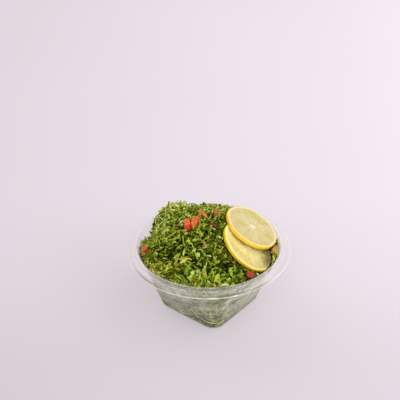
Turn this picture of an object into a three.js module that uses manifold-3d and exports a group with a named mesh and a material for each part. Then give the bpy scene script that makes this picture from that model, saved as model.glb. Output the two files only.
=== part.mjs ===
// Tabbouleh heaped in a clear thermoformed bowl, topped with two overlapping slices of lemon and
// a few dice of tomato and onion. Millimetres, +Z up. The bowl stands on Z = 0 with its rim centred
// on the Z axis, and the front of the serving faces -Y.

import * as THREE from "three";
import { mergeVertices } from "three/addons/utils/BufferGeometryUtils.js";
import Module from "manifold-3d";

const wasm = await Module();
wasm.setup();

const radians = THREE.MathUtils.degToRad;

// ---- bowl: round rim, square base with rounded corners -------------------------------------
const RIM_HEIGHT = 70; // inner rim edge above the table
const RIM_RADIUS = 70; // inner rim edge
const SHEET = 0.8; // thickness of the clear sheet
const BASE_HALF_SIDE = 38; // square base, before its heel is rounded
const BASE_CORNER_RADIUS = 12.3;
const BASE_TURN = radians(5.4); // the square's corners point 5.4 degrees off the X and Y axes
const HEEL_RADIUS = 4.5;
const BOWL_SEGMENTS = 56;

// Sealing flange, as offsets from the inner rim edge: bead, step, sloping skirt and lip.
const FLANGE = [
  [-0.9, -3.2],
  [0.2, -0.9],
  [1.3, -0.4],
  [2.6, -1.1],
  [4.2, -3.1],
  [6.0, -3.6],
  [8.6, -6.2],
  [9.9, -6.6],
];

// ---- salad ---------------------------------------------------------------------------------
const GAP = 0.35; // clearance between touching pieces
const WALL_GAP = 0.7; // clearance between the packed salad and the faceted wall of the bowl
const FILL_LEVEL = RIM_HEIGHT - 2; // where the heap meets the wall
const HEAP_RADIUS = 68.5;
const HEAP_CROWN = RIM_HEIGHT + 27;
const HEAP_POWER = 2.3; // fullness of the dome
// Swells and hollows on the dome: centre, change in height and reach.
const HEAP_LUMPS = [
  { x: -41, y: 39.5, rise: 8.5, reach: 13 },
  { x: 45, y: 42, rise: -3.5, reach: 14 },
  { x: -58, y: 21, rise: -20, reach: 9 },
];
const SHRED_COVER = 2.4; // the shreds stand this far above the packed core
const CORE_LUMP = 0.9; // height of the low lumps on the core
const CORE_SEGMENTS = 40;
const CORE_RINGS = 8;
const CORE_SIDE_ROWS = 4;
// Shreds of parsley and broader bits of leaf: how many, and the range of each measure. Their
// middle arches up, one end rises over the other, and both ends are bedded in the core.
const SHRED = {
  count: 165,
  length: [9, 19],
  width: [1.7, 2.7],
  thickness: [0.9, 1.2],
  arch: [1.8, 3.4],
  bend: [-2.2, 2.2],
  rise: [-1.2, 1.2],
  twist: [-0.7, 0.7],
  fold: 0,
  steps: [4, 1],
};
const LEAF = {
  count: 12,
  length: [9, 12],
  width: [5.5, 7.5],
  thickness: [1, 1.1],
  arch: [0.8, 1.6],
  bend: [0, 0.5],
  rise: [-1.4, 1.4],
  twist: [0.1, 0.4],
  fold: 0.22,
  steps: [3, 2],
};
const SHRED_BEDDING = 0.5; // depth of a shred's ends in the core
const SHRED_REACH = 65; // no shred is centred nearer the wall
const END_TAPER = 0.45; // a shred is this much narrower at its ends
const SEED = 20;

// ---- toppings ------------------------------------------------------------------------------
const LEMON_THICKNESS = 3.6;
const LEMON_SEGMENTS = 32;
const LEMON_HEADROOM = 25; // no salad lies on a slice
// Each slice: centre of its upper face, how far and which way that face leans, in degrees, and the
// direction of its longer diameter.
const LEMON_SLICES = [
  {
    name: "lemon_slice_upper",
    centre: [42.7, 8.9, RIM_HEIGHT + 13],
    radius: 27.7,
    tilt: 31.2,
    toward: -7.3,
    longest: 20,
  },
  {
    name: "lemon_slice_lower",
    centre: [38.2, -12.5, RIM_HEIGHT + 5],
    radius: 28.1,
    tilt: 38.8,
    toward: -13,
    longest: 160,
  },
];
// Diced pieces bedded in the heap: centre in plan, size, turn in degrees, and how far the top
// stands above the tips of the shreds.
const DICE = [
  { name: "tomato_crown_left", x: -21.4, y: -3.3, size: [6, 9.3, 9], turn: 3, proud: 2.4 },
  { name: "tomato_crown_right", x: -13.4, y: -1.8, size: [6.1, 9.5, 9], turn: -16, proud: 2 },
  { name: "tomato_strip", x: -6, y: 14.2, size: [12.1, 4, 4.6], turn: -53, proud: 0.8 },
  { name: "tomato_left_rim", x: -63.7, y: -10.4, size: [7.8, 11.6, 7], turn: 7, proud: 1.1 },
  { name: "tomato_front_rim", x: 39.3, y: -52.2, size: [8.1, 6.6, 6.5], turn: 30, proud: 0.2 },
  { name: "tomato_back", x: 7.7, y: 16.8, size: [3.8, 6.9, 8], turn: -3, proud: 1.9 },
  { name: "onion_crown", x: 3.1, y: -6.4, size: [6, 4, 3.8], turn: 19, proud: 0.3 },
  { name: "onion_right_rim", x: 64.4, y: -13.4, size: [4, 7, 4], turn: -12, proud: 0 },
];
const DICE_ROUNDING = 5; // the higher, the sharper a die's edges
const DICE_UNEVENNESS = 0.1;

// ---- general helpers -----------------------------------------------------------------------

// Repeatable random numbers from 0 to 1.
function randomStream(seed) {
  let state = seed;
  return () => {
    state = (state + 0x6d2b79f5) | 0;
    let t = Math.imul(state ^ (state >>> 15), 1 | state);
    t = (t + Math.imul(t ^ (t >>> 7), 61 | t)) ^ t;
    return ((t ^ (t >>> 14)) >>> 0) / 4294967296;
  };
}

// Shared corners merged, and triangles that merging has emptied dropped.
function welded(geometry) {
  geometry.deleteAttribute("normal");
  geometry.deleteAttribute("uv");
  const merged = mergeVertices(geometry, 1e-4);
  const index = Array.from(merged.index.array);
  const kept = [];
  for (let i = 0; i < index.length; i += 3) {
    const [a, b, c] = index.slice(i, i + 3);
    if (a !== b && b !== c && c !== a) {
      kept.push(a, b, c);
    }
  }
  merged.setIndex(kept);
  return merged;
}

function toSolid(geometry) {
  const closed = welded(geometry);
  const vertProperties = new Float32Array(closed.attributes.position.array);
  const triVerts = new Uint32Array(closed.index.array);
  return new wasm.Manifold(new wasm.Mesh({ numProp: 3, vertProperties, triVerts }));
}

function toGeometry(solid) {
  const mesh = solid.getMesh();
  const geometry = new THREE.BufferGeometry();
  geometry.setAttribute("position", new THREE.BufferAttribute(mesh.vertProperties, 3));
  geometry.setIndex(new THREE.BufferAttribute(mesh.triVerts, 1));
  return geometry;
}

// A turned solid whose rows need not be circles. Each row is a function of the angle round Z that
// gives [radius, height]; the first and last rows lie on the axis.
function turnedSolid(rows, segments) {
  const profile = rows.map((row, i) => new THREE.Vector2(1, i));
  const geometry = new THREE.LatheGeometry(profile, segments);
  const position = geometry.attributes.position;
  for (let column = 0; column <= segments; column += 1) {
    const angle = ((column % segments) / segments) * 2 * Math.PI;
    rows.forEach((row, i) => {
      const [radius, height] = row(angle);
      const x = radius * Math.cos(angle);
      const y = radius * Math.sin(angle);
      position.setXYZ(column * rows.length + i, x, y, height);
    });
  }
  return welded(geometry);
}

// ---- bowl ----------------------------------------------------------------------------------

const WALL_TOP = RIM_HEIGHT + FLANGE[0][1];
const baseReach = Math.SQRT2 * (BASE_HALF_SIDE - BASE_CORNER_RADIUS) + BASE_CORNER_RADIUS;

// Outline of the rounded square in a direction, as a share of its reach at a corner.
function squareShare(angle) {
  const quarter = Math.PI / 2;
  const fromCorner = angle - BASE_TURN;
  const folded = Math.abs(fromCorner - quarter * Math.round(fromCorner / quarter));
  const fromFlat = Math.PI / 4 - folded;
  const inset = BASE_HALF_SIDE - BASE_CORNER_RADIUS;
  if (Math.tan(fromFlat) * BASE_HALF_SIDE <= inset) {
    return BASE_HALF_SIDE / Math.cos(fromFlat) / baseReach;
  }
  const along = inset * (Math.cos(fromFlat) + Math.sin(fromFlat));
  const reach = along + Math.sqrt(along * along - 2 * inset * inset + BASE_CORNER_RADIUS ** 2);
  return reach / baseReach;
}

// The wall is square at the base and blends evenly into the round rim; the flange is all round.
function blended(radius, height, angle) {
  if (radius > RIM_RADIUS) {
    return radius;
  }
  const squareness = THREE.MathUtils.clamp((WALL_TOP - height) / WALL_TOP, 0, 1);
  return radius * (1 - squareness * (1 - squareShare(angle)));
}

// Middle of the sheet from the centre of the base out to the lip, taken through a corner.
const sheetLine = [new THREE.Vector2(0, SHEET / 2)];
const wallTop = new THREE.Vector2(RIM_RADIUS + FLANGE[0][0], WALL_TOP);
const heelCentre = new THREE.Vector2(baseReach - HEEL_RADIUS, SHEET / 2 + HEEL_RADIUS);
const wallLean = Math.atan2(wallTop.x - baseReach, wallTop.y - heelCentre.y);
const HEEL_STEPS = 3;
for (let i = 0; i <= HEEL_STEPS; i += 1) {
  const angle = -Math.PI / 2 + (i / HEEL_STEPS) * (Math.PI / 2 - wallLean);
  const x = heelCentre.x + HEEL_RADIUS * Math.cos(angle);
  const y = heelCentre.y + HEEL_RADIUS * Math.sin(angle);
  sheetLine.push(new THREE.Vector2(x, y));
}
const wallFoot = sheetLine[sheetLine.length - 1];
sheetLine.push(wallFoot.clone().lerp(wallTop, 0.5));
for (const [out, up] of FLANGE) {
  sheetLine.push(new THREE.Vector2(RIM_RADIUS + out, RIM_HEIGHT + up));
}

// One skin of the sheet: the middle line moved half a thickness to one side.
function skin(side) {
  return sheetLine.map((point, i) => {
    if (i === 0) {
      return new THREE.Vector2(0, point.y - (side * SHEET) / 2);
    }
    const before = sheetLine[i - 1];
    const after = sheetLine[Math.min(i + 1, sheetLine.length - 1)];
    const direction = after.clone().sub(before).normalize();
    const outward = new THREE.Vector2(direction.y, -direction.x);
    return point.clone().addScaledVector(outward, (side * SHEET) / 2);
  });
}

const outerSkin = skin(1);
const innerSkin = skin(-1);
// The base is flat under its whole width.
outerSkin[1].y = 0;
innerSkin[1].y = SHEET;

function skinRow(point) {
  return (angle) => [blended(point.x, point.y, angle), point.y];
}

function bowlGeometry() {
  const rows = [...outerSkin, ...innerSkin.slice().reverse()].map(skinRow);
  return turnedSolid(rows, BOWL_SEGMENTS);
}

// Inside radius of the bowl at a height and angle.
function insideRadius(height, angle) {
  for (let i = 2; i < innerSkin.length; i += 1) {
    const low = innerSkin[i - 1];
    const high = innerSkin[i];
    if (height <= high.y) {
      const share = (height - low.y) / (high.y - low.y);
      return blended(THREE.MathUtils.lerp(low.x, high.x, share), height, angle);
    }
  }
  return RIM_RADIUS;
}

// ---- toppings ------------------------------------------------------------------------------

// A lemon slice about its own axis, upper face at zero: zest edge, pith ring and sunken flesh.
// Grown and given headroom, it is the room that the slice takes in the heap.
function lemonGeometry(slice, grow = 0, headroom = 0) {
  const edge = 0.8;
  const pith = 3.4;
  const sunk = 0.35;
  const reach = (inset) => (angle) => {
    const oval = 0.016 * Math.cos(2 * (angle - radians(slice.longest)));
    const wavy = 0.006 * Math.sin(5 * angle);
    return slice.radius * (1 + oval + wavy) - inset + grow;
  };
  const row = (inset, height) => (angle) => [reach(inset)(angle), height];
  const bottom = -LEMON_THICKNESS - grow;
  const top = grow + headroom;
  const rows = [
    () => [0, bottom],
    row(edge, bottom),
    row(0, bottom + edge),
    row(0, top - edge),
    row(edge, top),
    row(pith, top),
    row(pith + 0.8, top - sunk),
    () => [0, top - sunk],
  ];
  return turnedSolid(rows, LEMON_SEGMENTS);
}

for (const slice of LEMON_SLICES) {
  const tilt = radians(slice.tilt);
  const toward = radians(slice.toward);
  slice.place = new THREE.Vector3(...slice.centre);
  slice.normal = new THREE.Vector3(
    Math.sin(tilt) * Math.cos(toward),
    Math.sin(tilt) * Math.sin(toward),
    Math.cos(tilt),
  );
  slice.turn = new THREE.Quaternion().setFromUnitVectors(new THREE.Vector3(0, 0, 1), slice.normal);
}

// Height of the packed dome of salad, out to the tips of its shreds.
function heapHeight(x, y) {
  const share = Math.min(Math.hypot(x, y) / HEAP_RADIUS, 1.03);
  let height = FILL_LEVEL + (HEAP_CROWN - FILL_LEVEL) * (1 - share ** HEAP_POWER);
  for (const lump of HEAP_LUMPS) {
    const far = Math.hypot(x - lump.x, y - lump.y) / lump.reach;
    height += lump.rise * Math.exp(-far * far * 0.5);
  }
  return height;
}

// A rotation that lays a piece on a surface: its own turn first, then the lean of the surface.
function laidOn(height, x, y, turn) {
  const step = 2.5;
  const slopeX = (height(x + step, y) - height(x - step, y)) / (2 * step);
  const slopeY = (height(x, y + step) - height(x, y - step)) / (2 * step);
  const up = new THREE.Vector3(0, 0, 1);
  const normal = new THREE.Vector3(-slopeX, -slopeY, 1).normalize();
  const lean = new THREE.Quaternion().setFromUnitVectors(up, normal);
  return lean.multiply(new THREE.Quaternion().setFromAxisAngle(up, turn));
}

// A die or strip with softened, slightly uneven corners, centred on zero.
function diceGeometry(piece, index, grow = 0) {
  const random = randomStream(SEED + index);
  const geometry = welded(new THREE.BoxGeometry(2, 2, 2, 2, 2, 2));
  const position = geometry.attributes.position;
  const half = piece.size.map((side) => side / 2 + grow);
  for (let i = 0; i < position.count; i += 1) {
    const corner = [position.getX(i), position.getY(i), position.getZ(i)];
    const power = corner.reduce((sum, value) => sum + Math.abs(value) ** DICE_ROUNDING, 0);
    const soften = power ** (-1 / DICE_ROUNDING);
    const share = soften * (1 + DICE_UNEVENNESS * (random() - 0.5));
    position.setXYZ(i, ...corner.map((value, axis) => value * half[axis] * share));
  }
  return geometry;
}

for (const piece of DICE) {
  piece.rotation = laidOn(heapHeight, piece.x, piece.y, radians(piece.turn));
  const depth = new THREE.Vector3(0, 0, -piece.size[2] / 2).applyQuaternion(piece.rotation);
  const top = heapHeight(piece.x, piece.y) + piece.proud;
  piece.place = new THREE.Vector3(piece.x, piece.y, top).add(depth);
}

// ---- salad ---------------------------------------------------------------------------------

// Height of the core under the shreds, with low lumps.
function coreHeight(x, y) {
  const lumps = Math.sin(x * 0.31 + 1.3 * Math.sin(y * 0.17)) * Math.sin(y * 0.29 + 0.7);
  return heapHeight(x, y) - SHRED_COVER + CORE_LUMP * lumps;
}

function coreGeometry() {
  const floor = SHEET + GAP;
  const heel = innerSkin[1].x - WALL_GAP;
  const heightAt = (radius, angle) => coreHeight(radius * Math.cos(angle), radius * Math.sin(angle));
  const edgeHeight = (angle) => heightAt(HEAP_RADIUS, angle);
  const wallRadius = (height, angle) => insideRadius(height, angle) - WALL_GAP;
  const rows = [() => [0, floor], (angle) => [blended(heel, floor, angle), floor]];
  // The rows on the side are closer together towards the heel.
  for (let i = 1; i <= CORE_SIDE_ROWS; i += 1) {
    const share = (i / CORE_SIDE_ROWS) ** 1.6;
    rows.push((angle) => {
      const height = THREE.MathUtils.lerp(floor + 1, edgeHeight(angle), share);
      return [wallRadius(height, angle), height];
    });
  }
  for (let i = CORE_RINGS - 1; i >= 0; i -= 1) {
    rows.push((angle) => {
      const radius = (wallRadius(edgeHeight(angle), angle) * i) / CORE_RINGS;
      return [radius, heightAt(radius, angle)];
    });
  }
  return turnedSolid(rows, CORE_SEGMENTS);
}

// True where a point is clear of the bowl and of every topping by the given margin.
function isClear(point, margin) {
  const radius = Math.hypot(point.x, point.y);
  const angle = Math.atan2(point.y, point.x);
  if (radius > insideRadius(point.z, angle) - margin) {
    return false;
  }
  for (const slice of LEMON_SLICES) {
    const local = point.clone().sub(slice.place);
    const height = local.dot(slice.normal);
    const across = local.addScaledVector(slice.normal, -height).length();
    const between = height < margin && height > -LEMON_THICKNESS - margin;
    if (between && across < slice.radius + 1 + margin) {
      return false;
    }
  }
  for (const piece of DICE) {
    const local = point.clone().sub(piece.place).applyQuaternion(piece.rotation.clone().invert());
    const inside = local.toArray().every((value, i) => Math.abs(value) < piece.size[i] / 2 + margin);
    if (inside) {
      return false;
    }
  }
  return true;
}

// True where a slice of lemon would hide a shred.
function isUnderLemon(x, y) {
  const inset = 2;
  return LEMON_SLICES.some((slice) => {
    const normal = slice.normal;
    const dx = x - slice.place.x;
    const dy = y - slice.place.y;
    const dz = -(normal.x * dx + normal.y * dy) / normal.z;
    return Math.hypot(dx, dy, dz) < slice.radius - inset;
  });
}

// A strip or leaf laid on the heap: an upright slab bent along its length and folded across it.
function shredGeometry(shape) {
  const { length, width, thickness, steps } = shape;
  const geometry = new THREE.BoxGeometry(length, width, thickness, steps[0], steps[1], 1);
  const position = geometry.attributes.position;
  const point = new THREE.Vector3();
  for (let i = 0; i < position.count; i += 1) {
    point.fromBufferAttribute(position, i);
    const run = (2 * point.x) / length;
    const hump = 1 - run * run;
    const side = point.y * (1 - END_TAPER * run * run);
    const twist = shape.twist * run;
    const flat = side * Math.cos(twist) - point.z * Math.sin(twist);
    const upright = side * Math.sin(twist) + point.z * Math.cos(twist);
    point.y = flat + shape.bend * run * run;
    point.z = upright + shape.fold * Math.abs(side) + shape.arch * hump + shape.rise * run;
    point.applyQuaternion(shape.rotation).add(shape.place);
    position.setXYZ(i, point.x, point.y, point.z);
  }
  return welded(geometry);
}

// Longest version of a shred that stays clear of the bowl and the toppings, or null.
function fittedShred(shape) {
  const point = new THREE.Vector3();
  for (const share of [1, 0.8, 0.62]) {
    const length = shape.length * share;
    const arch = shape.arch * share;
    const geometry = shredGeometry({ ...shape, length, arch });
    const position = geometry.attributes.position;
    let clear = true;
    for (let i = 0; i < position.count && clear; i += 1) {
      clear = isClear(point.fromBufferAttribute(position, i), 2 * GAP);
    }
    if (clear) {
      return geometry;
    }
  }
  return null;
}

// Shreds and leaves spread evenly over the heap by the golden angle, then shaken a little.
function shredGeometries() {
  const random = randomStream(SEED);
  const draw = ([low, high]) => low + (high - low) * random();
  const goldenAngle = Math.PI * (3 - Math.sqrt(5));
  const count = SHRED.count + LEAF.count;
  const leafEvery = Math.round(count / LEAF.count);
  const geometries = [];
  for (let i = 0; i < count; i += 1) {
    const kind = i % leafEvery === Math.floor(leafEvery / 3) ? LEAF : SHRED;
    const radius = SHRED_REACH * Math.sqrt((i + 0.5) / count);
    const angle = i * goldenAngle + draw([-0.05, 0.05]);
    const x = radius * Math.cos(angle);
    const y = radius * Math.sin(angle);
    const shape = {
      length: draw(kind.length),
      width: draw(kind.width),
      thickness: draw(kind.thickness),
      arch: draw(kind.arch),
      bend: draw(kind.bend),
      rise: draw(kind.rise),
      twist: draw(kind.twist),
      fold: kind.fold,
      steps: kind.steps,
      rotation: laidOn(coreHeight, x, y, draw([0, 2 * Math.PI])),
      place: new THREE.Vector3(x, y, coreHeight(x, y) - SHRED_BEDDING),
    };
    const geometry = isUnderLemon(x, y) ? null : fittedShred(shape);
    if (geometry) {
      geometries.push(geometry);
    }
  }
  return geometries;
}

function saladGeometry() {
  let solid = toSolid(coreGeometry());
  for (const slice of LEMON_SLICES) {
    const cutter = lemonGeometry(slice, GAP, LEMON_HEADROOM);
    cutter.applyQuaternion(slice.turn).translate(...slice.centre);
    solid = solid.subtract(toSolid(cutter));
  }
  DICE.forEach((piece, index) => {
    const cutter = diceGeometry(piece, index, GAP);
    cutter.applyQuaternion(piece.rotation).translate(...piece.place.toArray());
    solid = solid.subtract(toSolid(cutter));
  });
  for (const geometry of shredGeometries()) {
    solid = solid.add(toSolid(geometry));
  }
  // Anything cut loose by the pockets is dropped.
  const parts = solid.decompose().sort((a, b) => b.volume() - a.volume());
  return toGeometry(parts[0]);
}

// ---- scene graph ---------------------------------------------------------------------------

function namedMesh(name, geometry, look) {
  geometry.computeVertexNormals();
  const mesh = new THREE.Mesh(geometry, new THREE.MeshStandardMaterial(look));
  mesh.name = name;
  return mesh;
}

const serving = new THREE.Group();

const LOOKS = {
  bowl: { color: 0xf2f4f2, roughness: 0.08, metalness: 0, transparent: true, opacity: 0.3 },
  salad: { color: 0x5f7a2a, roughness: 0.6, metalness: 0 },
  lemon: { color: 0xe6d67c, roughness: 0.35, metalness: 0 },
  tomato: { color: 0xd4563a, roughness: 0.3, metalness: 0 },
  onion: { color: 0x9a5a6c, roughness: 0.3, metalness: 0 },
};

serving.add(namedMesh("bowl", bowlGeometry(), LOOKS.bowl));
serving.add(namedMesh("salad", saladGeometry(), LOOKS.salad));

for (const slice of LEMON_SLICES) {
  const mesh = namedMesh(slice.name, lemonGeometry(slice), LOOKS.lemon);
  mesh.position.copy(slice.place);
  mesh.quaternion.copy(slice.turn);
  serving.add(mesh);
}

DICE.forEach((piece, index) => {
  const look = piece.name.startsWith("tomato") ? LOOKS.tomato : LOOKS.onion;
  const mesh = namedMesh(piece.name, diceGeometry(piece, index), look);
  mesh.position.copy(piece.place);
  mesh.quaternion.copy(piece.rotation);
  serving.add(mesh);
});

export default serving;
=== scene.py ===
"""Tabbouleh heaped in a clear bowl, with two slices of lemon and dice of tomato and onion.

Lengths are in millimetres and angles in radians unless a name says otherwise, in the frame of the
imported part: +Z up, the base on Z = 0, the rim centred on the Z axis, the front towards -Y. Meshes
are turned into metres when they are written.
"""

import math

import bmesh
import bpy
import numpy as np
from mathutils import Matrix, Quaternion, Vector


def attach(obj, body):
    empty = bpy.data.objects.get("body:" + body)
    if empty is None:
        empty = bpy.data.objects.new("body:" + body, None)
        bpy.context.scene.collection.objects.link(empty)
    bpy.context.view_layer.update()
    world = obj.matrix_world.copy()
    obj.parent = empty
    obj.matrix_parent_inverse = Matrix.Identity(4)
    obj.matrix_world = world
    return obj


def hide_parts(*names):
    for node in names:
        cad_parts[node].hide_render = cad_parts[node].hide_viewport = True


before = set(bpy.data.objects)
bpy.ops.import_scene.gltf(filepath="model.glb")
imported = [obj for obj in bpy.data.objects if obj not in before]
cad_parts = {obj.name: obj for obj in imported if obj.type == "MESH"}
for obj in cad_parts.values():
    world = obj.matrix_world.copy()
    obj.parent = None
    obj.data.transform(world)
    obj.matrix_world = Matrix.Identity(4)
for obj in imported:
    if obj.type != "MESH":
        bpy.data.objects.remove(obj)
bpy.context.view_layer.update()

MM = 0.001

# ---- bowl, as in the CAD part ----
RIM_HEIGHT = 70.0  # inner rim edge above the table
RIM_RADIUS = 70.0
SHEET = 0.8  # thickness of the clear sheet
BASE_HALF_SIDE = 38.0
BASE_CORNER_RADIUS = 12.3
BASE_TURN = math.radians(5.4)
HEEL_RADIUS = 4.5
# Sealing flange, as offsets from the inner rim edge: bead, step, sloping skirt and lip.
FLANGE = [
    (-0.9, -3.2), (0.2, -0.9), (1.3, -0.4), (2.6, -1.1),
    (4.2, -3.1), (6.0, -3.6), (8.6, -6.2), (9.9, -6.6),
]
WALL_TOP = RIM_HEIGHT + FLANGE[0][1]
BASE_REACH = math.sqrt(2) * (BASE_HALF_SIDE - BASE_CORNER_RADIUS) + BASE_CORNER_RADIUS
BOWL_SEGMENTS = 208

# ---- heap, as in the CAD part ----
FILL_LEVEL = RIM_HEIGHT - 2
HEAP_RADIUS = 68.5
HEAP_CROWN = RIM_HEIGHT + 27
HEAP_POWER = 2.3
HEAP_LUMPS = [(-41, 39.5, 8.5, 13), (45, 42, -3.5, 14), (-58, 21, -20, 9)]  # x, y, rise, reach
OVERHANG = 3.2  # how far a leaf may lie out over the rim
CONTACT = 0.15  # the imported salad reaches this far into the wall, so that no air gap shows
CORE_DEPTH = 5.4  # the bare core lies this far under the tips of the shreds
EDGE_RISE = 2.6  # and less deep by this where it meets the wall
CORE_GAP = 1.3  # it lies this far under a slice of lemon
EDGE_GAP = 0.3  # and this far near the wall
GAP_SIZE = 8.0  # size of the gaps between tufts
GAP_BELOW = -0.62  # their pattern is lower than this in a gap
TUFT_HEIGHT = 1.5
TUFT_SIZE = 10.0
RIND_SIDE = (-0.55, -0.83)  # the side of a slice on which its rind shows, as x and y
RIND_SLOPE = 0.9  # rise of the greens away from a rind that shows
RIND_GAP = 1.0
STEEP_RISE = 25  # elsewhere they rise by this within the reach outside a slice
STEEP_REACH = 2.2
SIGHT_FALL = 0.65  # fall of the photo's line of sight for each unit forward
HOLLOWS = [  # dark gaps between the shreds: x, y, depth, reach
    (-39.8, -32.9, 5, 3.2), (-28.3, -25.7, 4.5, 2.4), (-35.5, 2, 5, 2.4), (-5, -23.6, 5, 1.9),
    (4.9, 11.5, 4, 2.2), (3.4, -19.3, 4.5, 2.1), (-14.6, -16.6, 4, 2.2), (-3.4, -44.6, 4, 1.9),
    (-22.6, -40.2, 4, 2.4), (17, -20, 3.5, 2.2), (-12.3, -51.7, 4, 2), (-46.5, 27, 3, 2.2),
]
TONE_AND_PAINTED_LIGHT_AREAS = [  # lighter or, below zero, darker greens, partly their own tone and partly painted light and painted shade: x, y, reach and by how much
    (-46, 26, 19, 0.27), (18, 30, 14, 0.46), (62, -16, 8, 0.7), (-8, 34, 14, 0.42),
    (29, -52, 8, -0.5), (-26, -56, 6, -0.4), (-40, -30, 10, -0.2), (0, -52, 16, -0.24),
    (-42, 40, 11, 0.2),
]
WARM_AREAS = [  # browner greens: x, y, reach and by how much
    (16, 18, 12, 0.5), (-29, -44, 6, 0.5), (-50, -38, 7, 0.5), (24, -38, 7, 0.5),
    (60, -20, 8, 0.5),
]

# ---- toppings, as in the CAD part ----
LEMON_THICKNESS = 3.6
LEMON_SLICES = {  # tilt from level, the way it leans and that of its longest radius, in degrees
    "lemon_slice_upper": {
        "centre": (42.7, 8.9, RIM_HEIGHT + 13), "radius": 27.7,
        "tilt": 31.2, "toward": -7.3, "longest": 20,
    },
    "lemon_slice_lower": {
        "centre": (38.2, -12.5, RIM_HEIGHT + 5), "radius": 28.1,
        "tilt": 38.8, "toward": -13, "longest": 160,
    },
}
DICE = {  # x, y, size, turn in degrees, height of the top above the tips of the shreds
    "tomato_crown_left": (-21.4, -3.3, (6, 9.3, 9), 3, 2.4),
    "tomato_crown_right": (-13.4, -1.8, (6.1, 9.5, 9), -16, 2),
    "tomato_strip": (-6, 14.2, (12.1, 4, 4.6), -53, 0.8),
    "tomato_left_rim": (-63.7, -10.4, (7.8, 11.6, 7), 7, 1.1),
    "tomato_front_rim": (39.3, -52.2, (8.1, 6.6, 6.5), 30, 0.2),
    "tomato_back": (7.7, 16.8, (3.8, 6.9, 8), -3, 1.9),
    "onion_crown": (3.1, -6.4, (6, 4, 3.8), 19, 0.3),
    "onion_right_rim": (64.4, -13.4, (4, 7, 4), -12, 0),
}
DICE_ROUNDING = 6
CLEAR_DICE = ["tomato_crown_left", "tomato_crown_right", "tomato_left_rim", "onion_right_rim"]
HIDING_REACH = 30.0  # shreds this far in front of a slice or a clear die are laid elsewhere
CLEARANCE = 0.15  # greens keep this far off the wall and the slices
OVER_DICE = 0.7  # and this far off the top of a die
INTO_DICE = 0.5  # but they may reach this far into its sides

GOLDEN_ANGLE = math.pi * (3 - math.sqrt(5))


# ---- small helpers ----

def unit(vectors):
    return vectors / np.maximum(np.linalg.norm(vectors, axis=-1, keepdims=True), 1e-9)


def smoothstep(low, high, value):
    share = np.clip((value - low) / (high - low), 0, 1)
    return share * share * (3 - 2 * share)


def peak(value, at, width):
    """Smooth peak of height 1 at a value."""
    return np.exp(-(((value - at) / width) ** 2))


def around_axis(radius, angle, *height):
    """Points round the Z axis, with a height if one is given."""
    return np.stack([radius * np.cos(angle), radius * np.sin(angle), *height], -1)


def ripple(points, size, seed, waves=14):
    """Smooth relief of about -1 to 1 at each point, with features of the given size."""
    rng = np.random.default_rng(seed)
    vectors = unit(rng.normal(size=(waves, 3)))
    vectors *= 2 * np.pi / size * rng.uniform(0.6, 1.5, (waves, 1))
    phases = rng.uniform(0, 2 * np.pi, waves)
    return np.sin(points @ vectors.T + phases).sum(-1) / math.sqrt(waves)


def srgb(red, green, blue):
    """Linear colour, with alpha, of an sRGB colour given from 0 to 255."""
    def linear(value):
        value /= 255
        return value / 12.92 if value <= 0.04045 else ((value + 0.055) / 1.055) ** 2.4
    return (linear(red), linear(green), linear(blue), 1)


# ---- shape of the bowl and the heap ----

def square_share(angle):
    """Outline of the rounded square in a direction, as a share of its reach at a corner."""
    quarter = np.pi / 2
    from_corner = angle - BASE_TURN
    folded = np.abs(from_corner - quarter * np.round(from_corner / quarter))
    from_flat = np.pi / 4 - folded
    inset = BASE_HALF_SIDE - BASE_CORNER_RADIUS
    flat = BASE_HALF_SIDE / np.cos(from_flat)
    along = inset * (np.cos(from_flat) + np.sin(from_flat))
    corner = along + np.sqrt(np.maximum(along**2 - 2 * inset**2 + BASE_CORNER_RADIUS**2, 0))
    on_flat = np.tan(from_flat) * BASE_HALF_SIDE <= inset
    return np.where(on_flat, flat, corner) / BASE_REACH


def blended(radius, height, angle):
    """The wall is square at the base and blends evenly into the round rim."""
    squareness = np.clip((WALL_TOP - height) / WALL_TOP, 0, 1)
    inner = radius * (1 - squareness * (1 - square_share(angle)))
    return np.where(radius > RIM_RADIUS, radius, inner)


def smooth_line(points, steps):
    """Catmull-Rom curve through the points, with the given number of steps between two."""
    points = np.array(points, float)
    padded = np.vstack([2 * points[0] - points[1], points, 2 * points[-1] - points[-2]])
    line = []
    for a, b, c, d in zip(padded, padded[1:], padded[2:], padded[3:]):
        for share in np.arange(steps) / steps:
            bend = 2 * a - 5 * b + 4 * c - d
            turn = 3 * (b - c) + d - a
            line.append(b + 0.5 * share * (c - a + share * (bend + share * turn)))
    line.append(points[-1])
    return np.array(line)


def sheet_line():
    """Middle of the sheet from the centre of the base to the lip, taken through a corner."""
    wall_top = np.array([RIM_RADIUS + FLANGE[0][0], WALL_TOP])
    heel = np.array([BASE_REACH - HEEL_RADIUS, SHEET / 2 + HEEL_RADIUS])
    lean = math.atan2(wall_top[0] - BASE_REACH, wall_top[1] - heel[1])
    turn = np.linspace(-math.pi / 2, -lean, 9)
    arc = heel + HEEL_RADIUS * np.column_stack([np.cos(turn), np.sin(turn)])
    base = np.column_stack([np.linspace(0, heel[0], 9)[:-1], np.full(8, SHEET / 2)])
    share = np.concatenate([np.linspace(0, 0.34, 31)[1:], np.linspace(0.34, 1, 10)[1:-1]])
    wall = arc[-1] + (wall_top - arc[-1]) * share[:, None]
    flange = smooth_line([(RIM_RADIUS + out, RIM_HEIGHT + up) for out, up in FLANGE], 5)
    return np.vstack([base, arc, wall, flange])


def skin(side):
    """One skin of the sheet: its middle line moved half a thickness to one side."""
    line = sheet_line()
    along = unit(np.gradient(line, axis=0))
    moved = line + side * SHEET / 2 * np.column_stack([along[:, 1], -along[:, 0]])
    moved[0, 0] = 0
    return moved


OUTER_SKIN = skin(1)
INNER_SKIN = skin(-1)
WALL_ROWS = INNER_SKIN[:, 1] < RIM_HEIGHT - 0.5
WALL_ROWS &= np.arange(len(INNER_SKIN)) < len(INNER_SKIN) - 25


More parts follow.
